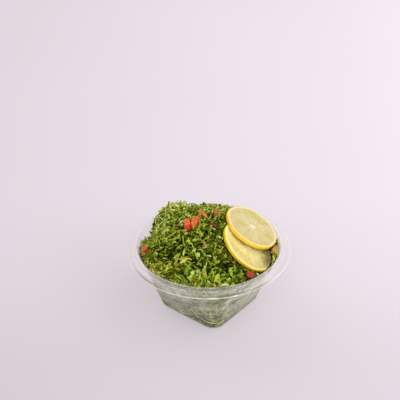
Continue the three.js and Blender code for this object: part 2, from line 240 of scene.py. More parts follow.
def inside_radius(height, angle):
    """Inside radius of the bowl at a height and angle."""
    radius = np.interp(height, INNER_SKIN[WALL_ROWS, 1], INNER_SKIN[WALL_ROWS, 0])
    return blended(np.minimum(radius, RIM_RADIUS), height, angle)


def heap_height(x, y):
    """Height of the heap at its shreds' tips."""
    share = np.minimum(np.hypot(x, y) / HEAP_RADIUS, 1.03)
    height = FILL_LEVEL + (HEAP_CROWN - FILL_LEVEL) * (1 - share**HEAP_POWER)
    for lump_x, lump_y, rise, reach in HEAP_LUMPS:
        far = np.hypot(x - lump_x, y - lump_y) / reach
        height = height + rise * np.exp(-far * far / 2)
    return height


def heap_normal(x, y, step=2.5):
    slope_x = (heap_height(x + step, y) - heap_height(x - step, y)) / (2 * step)
    slope_y = (heap_height(x, y + step) - heap_height(x, y - step)) / (2 * step)
    return unit(np.stack([-slope_x, -slope_y, np.ones_like(slope_x)], -1))


# ---- places of the toppings ----

def lemon_place(slice_):
    """Centre of the upper face, its normal, and the rotation from flat."""
    tilt = math.radians(slice_["tilt"])
    toward = math.radians(slice_["toward"])
    lean = math.sin(tilt)
    normal = Vector((lean * math.cos(toward), lean * math.sin(toward), math.cos(tilt)))
    turn = Vector((0, 0, 1)).rotation_difference(normal)
    return np.array(slice_["centre"]), np.array(normal), np.array(turn.to_matrix())


def dice_place(name):
    """Centre and rotation of a die, laid on the heap."""
    x, y, size, turn, proud = DICE[name]
    normal = Vector(heap_normal(np.array(float(x)), np.array(float(y))))
    lean = Vector((0, 0, 1)).rotation_difference(normal)
    rotation = lean @ Quaternion((0, 0, 1), math.radians(turn))
    top = np.array([x, y, float(heap_height(x, y)) + proud])
    matrix = np.array(rotation.to_matrix())
    return top - matrix @ np.array([0, 0, size[2] / 2]), matrix


LEMON_PLACES = {name: lemon_place(slice_) for name, slice_ in LEMON_SLICES.items()}
DICE_PLACES = {name: dice_place(name) for name in DICE}


def under_slices(x, y, height, gap, in_sight=False):
    """Lowers heights to lie under the slices of lemon, rising again round their edges.

    Where the rind is seen from the side, the rise is gentle, so that the rind shows. With
    in_sight, the rise in front of a slice is also too low to hide its edge.
    """
    for name, (centre, normal, _) in LEMON_PLACES.items():
        dx, dy = x - centre[0], y - centre[1]
        drop = -(normal[0] * dx + normal[1] * dy) / normal[2]
        across = np.sqrt(dx**2 + dy**2 + drop**2)
        radius = LEMON_SLICES[name]["radius"]
        toward_side = RIND_SIDE[0] * dx + RIND_SIDE[1] * dy
        open_side = smoothstep(0.1, 0.5, toward_side / np.maximum(np.hypot(dx, dy), 1e-6))
        steep = STEEP_RISE * smoothstep(radius, radius + STEEP_REACH, across)
        if in_sight:
            frontward = -dy / np.maximum(np.hypot(dx, dy), 1e-6)
            slope = np.maximum(SIGHT_FALL / np.maximum(frontward - 0.25, 0.03) - 0.75, 0.2)
            steep = np.minimum(steep, slope * np.maximum(across - radius, 0))
        gentle = RIND_SLOPE * np.maximum(across - radius - 0.5, 0) - RIND_GAP
        beyond = steep + open_side * (gentle - steep)
        # Outside the slice, heights count from the nearest point of its edge.
        edge_drop = drop * np.minimum(1, radius / np.maximum(across, 1e-6))
        limit = centre[2] + edge_drop - (LEMON_THICKNESS + gap) / normal[2] + beyond
        height = np.minimum(height, limit)
    return height


def hollow_depth(x, y):
    """How deep the gaps between the shreds are at each point."""
    depth = np.zeros_like(x)
    for hollow_x, hollow_y, full, reach in HOLLOWS:
        depth = depth + full * np.exp(-((x - hollow_x) ** 2 + (y - hollow_y) ** 2) / (2 * reach**2))
    return depth


def core_top(x, y):
    """Height of the core, under the shreds and the slices of lemon."""
    radius = np.hypot(x, y)
    depth = CORE_DEPTH - EDGE_RISE * smoothstep(58, 68, radius)
    height = heap_height(x, y) - depth - 0.6 * hollow_depth(x, y)
    gap = CORE_GAP - (CORE_GAP - EDGE_GAP) * smoothstep(58, 65, radius)
    return under_slices(x, y, height, gap, in_sight=True)


def greens_top(x, y):
    """Height of the shreds' tips, in soft tufts and hollows."""
    flat = np.stack([x, y, np.zeros_like(x)], -1)
    tufts = TUFT_HEIGHT * ripple(flat, TUFT_SIZE, 3) * smoothstep(69, 60, np.hypot(x, y))
    return under_slices(x, y, heap_height(x, y) + tufts - hollow_depth(x, y), 0.2)


def is_blocked(points):
    """True for points in the wall or in a topping, or that hide one from where it was seen."""
    x, y, z = points[..., 0], points[..., 1], points[..., 2]
    wall = inside_radius(z, np.arctan2(y, x)) - CLEARANCE
    blocked = np.hypot(x, y) > np.where(z > RIM_HEIGHT + 0.5, RIM_RADIUS + OVERHANG, wall)
    blocked |= z < SHEET
    ray = points - CAMERA_PLACE
    for name, (centre, normal, _) in LEMON_PLACES.items():
        local = points - centre
        height = local @ normal
        across = np.linalg.norm(local - height[..., None] * normal, axis=-1)
        reach = LEMON_SLICES[name]["radius"] + 0.5 + CLEARANCE
        inside = (across < reach) & (height > -LEMON_THICKNESS - CLEARANCE)
        blocked |= inside & (height < CLEARANCE)
        behind = local - (height / (ray @ normal))[..., None] * ray
        hides = np.linalg.norm(behind, axis=-1) < reach
        blocked |= hides & (height > 0) & (height < HIDING_REACH)
    for name, (centre, matrix) in DICE_PLACES.items():
        local = (points - centre) @ matrix
        half = np.array(DICE[name][2]) / 2 - INTO_DICE
        inside = (np.abs(local[..., :2]) < half[:2]).all(-1)
        blocked |= inside & (local[..., 2] > -half[2]) & (local[..., 2] < half[2] + OVER_DICE)
        if name in CLEAR_DICE:
            way = unit(centre - CAMERA_PLACE)
            depth = (points - centre) @ way
            aside = np.linalg.norm(points - centre - depth[..., None] * way, axis=-1)
            blocked |= (aside < 0.85 * half.min()) & (depth < 0) & (depth > -HIDING_REACH)
    return blocked


# ---- meshes ----

def add_object(name, data):
    item = bpy.data.objects.new(name, data)
    bpy.context.scene.collection.objects.link(item)
    return item


def write_piece(name, points, quads, triangles, material, nodes, attributes=()):
    """Writes one joined mesh and hangs it on the part. Points are in millimetres."""
    quads = np.array(quads, np.int32).reshape(-1, 4)
    triangles = np.array(triangles, np.int32).reshape(-1, 3)
    corners = np.concatenate([quads.ravel(), triangles.ravel()])
    starts = np.concatenate([
        np.arange(len(quads)) * 4,
        len(quads) * 4 + np.arange(len(triangles)) * 3,
    ])
    mesh = bpy.data.meshes.new(name)
    mesh.vertices.add(len(points))
    mesh.vertices.foreach_set("co", (np.asarray(points) * MM).astype(np.float32).ravel())
    mesh.loops.add(len(corners))
    mesh.loops.foreach_set("vertex_index", corners.astype(np.int32))
    mesh.polygons.add(len(starts))
    mesh.polygons.foreach_set("loop_start", starts.astype(np.int32))
    mesh.polygons.foreach_set("use_smooth", np.ones(len(starts), bool))
    for key, values in dict(attributes).items():
        values = np.asarray(values, np.float32)
        if values.ndim == 1:
            mesh.attributes.new(key, "FLOAT", "POINT").data.foreach_set("value", values)
        else:
            layer = mesh.attributes.new(key, "FLOAT_VECTOR", "POINT")
            layer.data.foreach_set("vector", values.ravel())
    mesh.update(calc_edges=True)
    mesh.validate()
    mesh.materials.append(material)
    piece = add_object(name, mesh)
    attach(piece, "root")
    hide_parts(*nodes)


def turned_faces(rows, segments):
    """Faces of a turned solid: a point on the axis, rings of points, and a point on the axis."""
    ring = np.arange(segments)
    after = (ring + 1) % segments
    quads = []
    for row in range(rows - 1):
        low = 1 + row * segments
        high = low + segments
        quads.append(np.stack([low + ring, low + after, high + after, high + ring], -1))
    last = 1 + rows * segments
    top = last - segments
    bottom_fan = np.stack([np.zeros(segments, int), 1 + after, 1 + ring], -1)
    top_fan = np.stack([np.full(segments, last), top + ring, top + after], -1)
    return np.concatenate(quads), np.concatenate([bottom_fan, top_fan])


def turned_points(radius, height, angle, first, last):
    """Points of a turned solid from (rows, segments) arrays and its two heights on the axis."""
    rings = around_axis(radius, angle, height)
    return np.vstack([[0, 0, first], rings.reshape(-1, 3), [0, 0, last]])


def with_ends(values, first=0, last=0):
    """Values for the rings of a turned solid and for its two points on the axis."""
    return np.concatenate([[first], np.ravel(values), [last]])


# ---- materials ----

def new_material(name):
    material = bpy.data.materials.new(name)
    material.use_nodes = True
    material.node_tree.nodes.clear()
    return material, material.node_tree


def add_node(tree, kind, inputs=(), **settings):
    """A shader node; each input is a value or the socket that feeds it."""
    node = tree.nodes.new("ShaderNode" + kind)
    for key, value in settings.items():
        setattr(node, key, value)
    for key, value in dict(inputs).items():
        if isinstance(value, bpy.types.NodeSocket):
            tree.links.new(value, node.inputs[key])
        else:
            node.inputs[key].default_value = value
    return node


def show(tree, shader):
    output = add_node(tree, "OutputMaterial")
    tree.links.new(shader.outputs[0], output.inputs["Surface"])


def attribute(tree, name, output="Fac"):
    return add_node(tree, "Attribute", attribute_name=name).outputs[output]


def math_node(tree, operation, first, second=0.0, third=0.0, clamp=False):
    node = add_node(tree, "Math", {0: first, 1: second, 2: third}, operation=operation)
    node.use_clamp = clamp
    return node.outputs[0]


def ramp(tree, factor, stops):
    """Colour ramp from (position, colour) stops."""
    node = add_node(tree, "ValToRGB", {"Fac": factor})
    elements = node.color_ramp.elements
    while len(elements) < len(stops):
        elements.new(0.5)
    for element, (position, colour) in zip(elements, stops):
        element.position = position
        element.color = colour
    return node.outputs["Color"]


def mixed_colour(tree, factor, first, second, blend="MIX", clamp=False):
    node = add_node(tree, "Mix", {0: factor, 6: first, 7: second}, data_type="RGBA")
    node.blend_type = blend
    node.clamp_result = clamp
    return node.outputs[2]


def multiplied(tree, first, second, clamp=False):
    return mixed_colour(tree, 1.0, first, second, "MULTIPLY", clamp)


def mixed_shader(tree, factor, first, second):
    return add_node(
        tree, "MixShader", {"Fac": factor, 1: first.outputs[0], 2: second.outputs[0]})


def object_place(tree):
    return add_node(tree, "TexCoord").outputs["Object"]


def noise(tree, size_mm, detail=3.0, roughness=0.6):
    """Noise with features of the given size, in the frame of the part."""
    settings = {"Scale": 1 / (size_mm * MM), "Detail": detail, "Roughness": roughness}
    return add_node(tree, "TexNoise", {"Vector": object_place(tree), **settings}).outputs["Fac"]


def palette(colours, low=0.0, high=1.0):
    """Stops of a ramp through sRGB colours, spread evenly between two positions."""
    last = len(colours) - 1
    return [(low + (high - low) * i / last, srgb(*colour)) for i, colour in enumerate(colours)]


def mottled(tree, size_mm, colours, low=0.3, high=0.7, detail=3.0):
    """Soft patches of the given size in sRGB colours."""
    return ramp(tree, noise(tree, size_mm, detail), palette(colours, low, high))


def bump(tree, height, strength, distance_mm):
    settings = {"Height": height, "Strength": strength, "Distance": distance_mm * MM}
    return add_node(tree, "Bump", settings).outputs["Normal"]


def principled(tree, colour, roughness, normal, specular=None, soft=None, coat=None):
    """Principled surface; soft is how much light enters, its radius and its scale in millimetres."""
    settings = {"Base Color": colour, "Roughness": roughness, "Normal": normal}
    if specular is not None:
        settings["Specular IOR Level"] = specular
    if soft is not None:
        settings["Subsurface Weight"] = soft[0]
        settings["Subsurface Radius"] = soft[1]
        settings["Subsurface Scale"] = soft[2] * MM
    if coat is not None:
        settings["Coat Weight"], settings["Coat Roughness"] = coat
    return add_node(tree, "BsdfPrincipled", settings)


WARM_TINTS = [  # what a green is multiplied by, from cool to warm
    (0.0, (0.8, 1.05, 0.8, 1)), (0.35, (0.95, 1.02, 0.9, 1)),
    (0.65, (1.15, 0.96, 0.8, 1)), (1.0, (1.42, 0.84, 0.75, 1)),
]
LEAF_MOTTLE = [(0.32, (0.36, 0.4, 0.2, 1)), (0.68, (1.28, 1.24, 1.1, 1))]
VEIN_SHARE = 0.3
VEIN_SHARPNESS = 6.0
VEIN_COLOUR = srgb(176, 194, 70)


def greens_material(name, colours, translucent=0.2, roughness=0.42, specular=0.09):
    """Cut parsley: every shred has its own green, with a paler vein and fine wrinkles."""
    material, tree = new_material(name)
    own = ramp(tree, attribute(tree, "shade"), palette(colours))
    own = multiplied(tree, own, ramp(tree, attribute(tree, "warm"), WARM_TINTS))
    off_middle = math_node(tree, "ABSOLUTE", attribute(tree, "across"))
    middle = math_node(tree, "SUBTRACT", 1.0, off_middle)
    vein = math_node(tree, "POWER", middle, VEIN_SHARPNESS)
    vein = math_node(tree, "MULTIPLY", vein, VEIN_SHARE, clamp=True)
    pale = mixed_colour(tree, vein, own, VEIN_COLOUR)
    colour = multiplied(tree, pale, ramp(tree, noise(tree, 1.4), LEAF_MOTTLE))
    normal = bump(tree, math_node(tree, "ADD", noise(tree, 0.5), vein), 0.55, 0.25)
    leaf = principled(tree, colour, roughness, normal, specular)
    through = add_node(tree, "BsdfTranslucent", {"Color": colour, "Normal": normal})
    show(tree, mixed_shader(tree, translucent, leaf, through))
    return material


CELL_SIZE_MM = 4


def core_material():
    """Packed salad: near-black green under the shreds, as painted shade deep in the heap, and a
    pressed tangle behind the wall.
    """
    material, tree = new_material("salad_core")
    # Painted shade: the core under the shreds is near black.
    deep = mottled(tree, 2.2, [(12, 16, 0), (36, 42, 0)])
    settings = {"Vector": object_place(tree), "Scale": 1 / (CELL_SIZE_MM * MM), "Randomness": 1.0}
    cells = add_node(tree, "TexVoronoi", settings, feature="F1", distance="CHEBYCHEV")
    pressed = ramp(tree, cells.outputs["Color"], [
        (0.1, srgb(44, 56, 4)), (0.45, srgb(84, 100, 18)),
        (0.75, srgb(132, 142, 56)), (0.95, srgb(186, 182, 118)),
    ])
    colour = mixed_colour(tree, attribute(tree, "side"), deep, pressed)
    show(tree, principled(tree, colour, 0.7, bump(tree, noise(tree, 1.2), 0.6, 0.5), 0.08))
    return material


BIT_STAIN = [(0.3, (0.72, 0.7, 0.6, 1)), (0.7, (1.1, 1.1, 1.1, 1))]


def bit_material(name, colours, roughness=0.4):
    """Small bits, each with its own shade: grain, spring onion, tomato or onion."""
    material, tree = new_material(name)
    own = ramp(tree, attribute(tree, "shade"), palette(colours))
    colour = multiplied(tree, own, ramp(tree, noise(tree, 1.1), BIT_STAIN))
    normal = bump(tree, noise(tree, 0.5), 0.4, 0.2)
    show(tree, principled(tree, colour, roughness, normal, 0.2, (0.1, (1.0, 0.6, 0.3), 1.0)))
    return material


GLOSS_GROWTH = 0.85  # at grazing angles
GLOSS_LEAST = 0.03
HAZE_LEAST = 0.012
PAINTED_HIGHLIGHT_SHARE = 0.7
CLEAR_TINT = (0.998, 0.997, 0.99, 1)
# Tints and whites of the misty film, which is partly painted sheen, of the painted shade on the
# flange, and of the painted highlights.
MIST_AND_SHEEN_TINT = (0.955, 0.965, 0.895, 1)
PAINTED_DARK_TINT = (0.62, 0.57, 0.5, 1)
MIST_AND_SHEEN_WHITE = (0.89, 0.88, 0.71, 1)
PAINTED_HIGHLIGHT_WHITE = (0.98, 0.95, 0.96, 1)
MIST_AND_SHEEN_FILM = [(0.41, (0.03, 0.03, 0.03, 1)), (0.6, (0.52, 0.52, 0.52, 1))]


def plastic_material():
    """Thin clear sheet: soft gloss that grows at grazing angles, over a faint haze, with painted
    highlights, painted sheen and painted shade.
    """
    material, tree = new_material("clear_sheet")
    ridge_and_painted_highlight = attribute(tree, "ridge_and_painted_highlight")
    mist_and_painted_sheen = attribute(tree, "mist_and_painted_sheen")
    normal = bump(tree, noise(tree, 22.0, detail=1.0), 0.06, 1.5)
    facing = add_node(tree, "LayerWeight", {"Blend": 0.5, "Normal": normal}).outputs["Facing"]
    grazing = math_node(tree, "POWER", facing, 5.0)
    shine = math_node(tree, "MULTIPLY_ADD", grazing, GLOSS_GROWTH, GLOSS_LEAST, clamp=True)
    tint = mixed_colour(tree, mist_and_painted_sheen, CLEAR_TINT, MIST_AND_SHEEN_TINT)
    tint = mixed_colour(tree, attribute(tree, "painted_dark_lines"), tint, PAINTED_DARK_TINT)
    clear = add_node(tree, "BsdfTransparent", {"Color": tint})
    white = mixed_colour(tree, ridge_and_painted_highlight, MIST_AND_SHEEN_WHITE, PAINTED_HIGHLIGHT_WHITE)
    haze = add_node(tree, "BsdfDiffuse", {"Color": white})
    film = ramp(tree, noise(tree, 9.0, detail=6.0, roughness=0.78), MIST_AND_SHEEN_FILM)
    mist_and_sheen_share = math_node(tree, "MULTIPLY", film, mist_and_painted_sheen)
    painted_lines = math_node(tree, "MULTIPLY", ridge_and_painted_highlight, PAINTED_HIGHLIGHT_SHARE)
    white_share = math_node(tree, "ADD", mist_and_sheen_share, painted_lines)
    white_share = math_node(tree, "ADD", white_share, HAZE_LEAST, clamp=True)
    gloss = add_node(
        tree, "BsdfGlossy", {"Color": (1, 1, 0.97, 1), "Roughness": 0.2, "Normal": normal})
    show(tree, mixed_shader(tree, shine, mixed_shader(tree, white_share, clear, haze), gloss))
    return material


PATCH_SHARE = 0.36
PAINTED_LIGHT_LIFT = (1.44, 1.42, 1.3, 1)
PORE_SIZE_MM = 0.9


def lemon_material():
    """Slice of lemon: gold zest, white pith and membranes, and juicy pale flesh, with painted light
    where the lower slice lies in shade.
    """
    material, tree = new_material("lemon_slice")
    pulp = attribute(tree, "pulp")
    zest = attribute(tree, "zest")
    settings = {"Scale": 1.0, "Detail": 3.0, "Roughness": 0.55}
    streak = attribute(tree, "streak", "Vector")
    grain = add_node(tree, "TexNoise", {"Vector": streak, **settings}).outputs["Fac"]
    flesh = ramp(tree, grain, [
        (0.3, srgb(190, 173, 88)), (0.5, srgb(203, 188, 114)), (0.72, srgb(218, 206, 148)),
    ])
    patch = mottled(tree, 10.0, [(228, 219, 182), (194, 175, 92)], 0.36, 0.64)
    flesh = mixed_colour(tree, PATCH_SHARE, flesh, patch)
    white = mottled(tree, 1.5, [(226, 212, 164), (238, 228, 198)])
    gold = mottled(tree, 5.0, [(236, 184, 22), (250, 212, 56)])
    colour = mixed_colour(tree, zest, mixed_colour(tree, pulp, white, flesh), gold)
    # Painted light: colours of the lower slice are lifted where it lies in shade.
    colour = mixed_colour(
        tree, attribute(tree, "shaded"), colour, PAINTED_LIGHT_LIFT, "MULTIPLY", clamp=True)
    settings = {"Vector": object_place(tree), "Scale": 1 / (PORE_SIZE_MM * MM)}
    pores = add_node(tree, "TexVoronoi", settings)
    relief = math_node(tree, "MULTIPLY", pores.outputs["Distance"], zest)
    relief = math_node(tree, "ADD", relief, math_node(tree, "MULTIPLY", grain, pulp))
    normal = bump(tree, relief, 0.3, 0.3)
    soft = (0.7, (1.0, 0.85, 0.55), 4.0)
    show(tree, principled(tree, colour, 0.36, normal, soft=soft, coat=(0.1, 0.25)))
    return material


def flesh_material(name, skin_colours, flesh_colours, roughness=0.4, coat=0.12):
    """Die cut from a vegetable: its skin on one side, wet flesh elsewhere."""
    material, tree = new_material(name)
    outer = mottled(tree, 2.4, skin_colours)
    inner = mottled(tree, 1.8, flesh_colours, 0.25, 0.75)
    colour = mixed_colour(tree, attribute(tree, "skin"), inner, outer)
    normal = bump(tree, noise(tree, 1.0), 0.35, 0.3)
    soft = (0.2, (1.0, 0.35, 0.2), 1.5)
    show(tree, principled(tree, colour, roughness, normal, 0.25, soft, (coat, 0.2)))
    return material


# ---- bowl ----

HEEL_RIDGE = 0.22
# Height of the wavy fold over the heel, by the angle round the bowl in degrees.
HEEL_FOLD = [
    (20, 10), (150, 11), (195, 15.7), (207, 13.2), (219, 9.6), (234, 8.8),
    (243, 14), (250, 17), (264, 12.2), (278, 10), (298, 14.6), (325, 14),
]
FOLD_WIDTH = 0.65
# Painted highlights along lines of the flange: how far outside the rim, their width and brightness,
# and how far under the rim they may lie.
FLANGE_LINES = {
    "lip": (9.6, 0.5, 1.0, 9),
    "bead": (0.0, 0.4, 0.4, 2),
    "step": (0.8, 0.7, 0.42, 3),
    "fold": (4.6, 0.5, 0.3, 6),
}
# Painted highlights as bright spots along the lip and the step: angle and reach in degrees.
LIP_GLEAMS = [(272.0, 2.2), (287.5, 1.6)]
STEP_GLEAMS = [(243.0, 13.0), (306.0, 12.0)]
LIP_GLEAM = 1.2
STEP_GLEAM = 1.6
# Thinner or, below zero, thicker misty film, which is partly painted sheen: angle, height, reach
# round and up, and share taken away.
MIST_AND_SHEEN_PATCHES = [
    (270.5, 41.0, 11.0, 4.2, 0.75), (277.0, 18.0, 7.0, 4.0, 0.75), (250.0, 33.0, 5.0, 4.0, 0.75),
    (230.0, 52.0, 15.0, 14.0, -0.45), (314.0, 52.0, 12.0, 14.0, -0.6),
]


def turned_apart(degrees, at):
    """How far angles lie from another one, in degrees."""
    return (degrees - at + 180) % 360 - 180


def heel_fold(angle):
    """Height of the fold over the heel, smoothed between its named points."""
    at, height = np.array(HEEL_FOLD, float).T
    spread = np.radians([-5, -2.5, 0, 2.5, 5])
    degrees = np.degrees(angle[..., None] + spread)
    return np.interp(degrees, at, height, period=360).mean(-1)


def ridges_and_painted_highlights(radius, height, angle):
    """Lines of painted highlight: those of the flange, and the fold over the heel, where make_bowl
    also raises a ridge.
    """
    way = around_axis(1, angle, np.zeros_like(angle))
    degrees = np.degrees(angle)
    heel = peak(height, heel_fold(angle), FOLD_WIDTH) * (radius < RIM_RADIUS)
    heel = heel * (0.75 + 0.25 * ripple(way, 0.5, 9, 8))
    uneven = 0.75 + 0.25 * ripple(way, 0.7, 10, 8)
    # The painted highlights of the flange show most at the front and hardly at the left.
    uneven = uneven * (0.52 - 0.2 * np.sin(angle) + 0.28 * np.cos(angle))
    for at, reach in LIP_GLEAMS:
        uneven = uneven + LIP_GLEAM * peak(turned_apart(degrees, at), 0, reach)
    lines = {}
    for name, (out, width, bright, below) in FLANGE_LINES.items():
        near = height > RIM_HEIGHT - below
        lines[name] = bright * peak(radius - RIM_RADIUS, out, width) * near
    for at, reach in STEP_GLEAMS:
        gleam = peak(turned_apart(degrees, at), 0, reach)
        lines["step"] = lines["step"] * (1 + STEP_GLEAM * gleam)
    return np.clip(heel + sum(lines.values()) * uneven, 0, 1)


def painted_flange_darkening(radius, height, angle):
    """Painted shade where the front of the flange looks dark from refraction: just inside its lip,
    and along its step.
    """
    way = around_axis(1, angle, np.zeros_like(angle))
    out = radius - RIM_RADIUS
    inside_lip = peak(out, 8.3, 0.7) * (height > RIM_HEIGHT - 9)
    at_step = peak(out, 3.4, 0.5) * (height > RIM_HEIGHT - 5)
    at_step = at_step * (0.1 + 0.5 * smoothstep(0.1, 0.6, np.cos(angle)))
    front = smoothstep(0.3, 0.9, -np.sin(angle + 0.1))
    return np.clip((inside_lip + at_step) * front * (0.7 + 0.4 * ripple(way, 0.5, 12, 8)), 0, 1)


def make_bowl():
    rows = np.vstack([OUTER_SKIN[1:], INNER_SKIN[:0:-1]])
    angle = np.arange(BOWL_SEGMENTS) / BOWL_SEGMENTS * 2 * np.pi
    height = np.repeat(rows[:, 1:], BOWL_SEGMENTS, axis=1)
    radius = blended(rows[:, :1], height, angle[None, :])
    around = np.broadcast_to(angle, height.shape)
    ridge_and_painted_highlight = ridges_and_painted_highlights(radius, height, around)
    # Outside, the fold over the heel stands out as a low ridge.
    outside = len(OUTER_SKIN) - 1
    low = height[:outside] < RIM_HEIGHT / 2
    radius[:outside] += HEEL_RIDGE * ridge_and_painted_highlight[:outside] * low
    points = turned_points(radius, height, angle, 0, SHEET)
    quads, triangles = turned_faces(len(rows), BOWL_SEGMENTS)
    # A misty film covers the wall between the fold over the heel and the top of the salad. It also
    # stands in for the floor's sheen as painted reflection, so it is left off the heel and fades
    # under the flange, which gives painted shade there.
    filled = core_top(HEAP_RADIUS * np.cos(around), HEAP_RADIUS * np.sin(around))
    mist_and_painted_sheen = smoothstep(-0.5, 7, height - heel_fold(around)) * smoothstep(5, -1, height - filled)
    mist_and_painted_sheen = mist_and_painted_sheen * smoothstep(RIM_HEIGHT + 1, WALL_TOP - 12, height) * (radius < RIM_RADIUS + 0.5)
    mist_and_painted_sheen = mist_and_painted_sheen * (0.6 + 0.5 * smoothstep(12, 42, height))
    for at, level, wide, tall, taken in MIST_AND_SHEEN_PATCHES:
        apart = turned_apart(np.degrees(around), at) / wide
        mist_and_painted_sheen = mist_and_painted_sheen * (1 - taken * np.exp(-(apart**2) - ((height - level) / tall) ** 2))
    write_piece(
        "bowl_clear_sheet", points, quads, triangles, plastic_material(),
        ["bowl"], {
            "mist_and_painted_sheen": with_ends(mist_and_painted_sheen),
            "ridge_and_painted_highlight": with_ends(ridge_and_painted_highlight),
            "painted_dark_lines": with_ends(painted_flange_darkening(radius, height, around)),
        })


# ---- core of the salad ----

def make_core():
    """Packed salad: touching the wall and the base all over, lumpy on top."""
    segments, side_rows, top_rows, base_rows = 240, 48, 60, 8
    angle = np.arange(segments) / segments * 2 * np.pi
    floor = SHEET - CONTACT
    heel = np.interp(SHEET, INNER_SKIN[WALL_ROWS, 1], INNER_SKIN[WALL_ROWS, 0]) - 2
    rows = []
    for i in range(1, base_rows + 1):
        radius = blended(np.full(segments, heel * i / base_rows), floor, angle)
        rows.append((radius, np.full(segments, floor)))

    def top(radius):
        x, y = radius * np.cos(angle), radius * np.sin(angle)
        height = core_top(x, y)
        return height + 0.6 * ripple(np.stack([x, y, height], -1), 7, 5)

    edge = top(np.full(segments, HEAP_RADIUS))
    for share in np.linspace(0, 1, side_rows + 1)[1:] ** 1.3:
        height = floor + (edge - floor) * share
        rows.append((inside_radius(height, angle) + CONTACT, height))
    rim = rows[-1][0]
    for share in np.linspace(1, 0, top_rows + 1)[1:-1]:
        rows.append((rim * share, top(rim * share)))
    radius = np.array([row[0] for row in rows])
    height = np.array([row[1] for row in rows])
    points = turned_points(radius, height, angle, floor, float(core_top(0.0, 0.0)))
    quads, triangles = turned_faces(len(rows), segments)
    on_side = np.zeros(len(rows))
    on_side[:base_rows + side_rows] = 1
    side = with_ends(np.repeat(on_side, segments), first=1)
    write_piece(
        "salad_core", points, quads, triangles, core_material(), ["salad"],
        {"side": side})


# ---- strips: shreds, leaves and stems ----

# Range of each measure of a kind of strip. Arch, bend and twist are how far it turns from end to
# end: over its own hump, sideways and about its length. Fold lifts its edges; ragged is how
# unevenly it is cut. Level is the height of its highest point over the tips of the shreds.
SHRED = {
    "length": (7, 16), "width": (1.3, 2.5), "thickness": (0.18, 0.3),
    "arch": (-0.6, 2.4), "bend": (-1.8, 1.8), "pitch": (-0.7, 0.7), "roll": (-1.1, 1.1),
    "twist": (-1.6, 1.6), "fold": (-0.6, 0.9), "wave": (0, 0.6),
    "ragged": 0.4, "outline": "cut", "steps": 8, "columns": 3,
}
LEAF = {
    **SHRED, "length": (5.5, 10.5), "width": (2.8, 5.4),
    "arch": (-0.4, 1.9), "bend": (-0.6, 0.6), "pitch": (-0.6, 0.6), "roll": (-0.7, 0.7),
    "twist": (-0.8, 0.8), "fold": (0.1, 0.7), "wave": (0.1, 0.5),
    "ragged": 0.2, "outline": "leaf", "steps": 10, "columns": 5,
}
STEM = {
    **SHRED, "length": (9, 19), "width": (0.7, 1.1), "thickness": (0.6, 0.9),
    "arch": (0, 1.4), "bend": (-0.9, 0.9), "pitch": (-0.3, 0.3), "fold": (0, 0),
    "wave": (0, 0.2), "ragged": 0.06, "outline": "stem",
}
LEAFLET = {
    **SHRED, "length": (3.5, 6.5), "width": (1.4, 2.5), "arch": (0, 1.8),
    "bend": (-0.5, 0.5), "pitch": (-0.1, 0.7), "roll": (-0.6, 0.6), "twist": (-0.6, 0.6),
    "outline": "leaf", "ragged": 0.15, "steps": 6,
}
TUFT = {**SHRED, "length": (4, 8), "pitch": (0.5, 1.4), "arch": (0, 1.4), "bend": (-0.8, 0.8)}
CRUMB = {**SHRED, "length": (3, 6.5), "arch": (-0.3, 1.4), "pitch": (-0.4, 0.5)}
WISP = {**TUFT, "length": (5, 11), "width": (1.0, 1.9)}


def drawn(rng, kind, count, shrink=1.0):
    """One value of each measure for every strip, drawn in the order of SHRED."""
    values = {
        key: rng.uniform(*span, count) for key, span in kind.items() if isinstance(span, tuple)
    }
    values["length"] = values["length"] * shrink
    return values


def outline_share(kind, share):
    """Half-width of a strip along its length, as a share of the widest."""
    if kind["outline"] == "leaf":
        lobes = 1 + 0.3 * np.sin(2 * np.pi * (3.2 * share - 0.15))
        return np.maximum(np.sin(np.pi * share**0.8) ** 0.75 * lobes, 0.06)
    if kind["outline"] == "stem":
        return 1 - 0.35 * share
    return np.minimum(1, 0.35 + 5 * np.minimum(share, 1 - share))


def centre_lines(start, direction, normal, kind, values, rng, anchor=0.5):
    """Middle line of each strip and, along it, its direction and the way its face looks."""
    count, steps = len(start), kind["steps"]
    share = np.linspace(0, 1, steps)[None, :]
    run = share - 0.5
    phase = rng.uniform(0, 2 * np.pi, (count, 1))
    wave = values["wave"][:, None] * np.sin(2 * np.pi * 1.4 * share + phase)
    rise = values["pitch"][:, None] - values["arch"][:, None] * run + wave
    swing = values["bend"][:, None] * run
    side = np.cross(normal, direction)
    flat = np.cos(swing)[..., None] * direction[:, None] + np.sin(swing)[..., None] * side[:, None]
    along = np.cos(rise)[..., None] * flat + np.sin(rise)[..., None] * normal[:, None]
    step = values["length"][:, None, None] / (steps - 1)
    middle = (along[:, 1:] + along[:, :-1]) / 2 * step
    line = np.concatenate([np.zeros((count, 1, 3)), np.cumsum(middle, axis=1)], axis=1)
    held = line[:, int(round(anchor * (steps - 1)))][:, None]
    line = line - held + start[:, None]
    roll = values["roll"][:, None] + values["twist"][:, None] * run
    level = unit(np.cross(normal[:, None] + 0 * along, along))
    upright = np.cross(along, level)
    width_way = np.cos(roll)[..., None] * level + np.sin(roll)[..., None] * upright
    return line, along, width_way


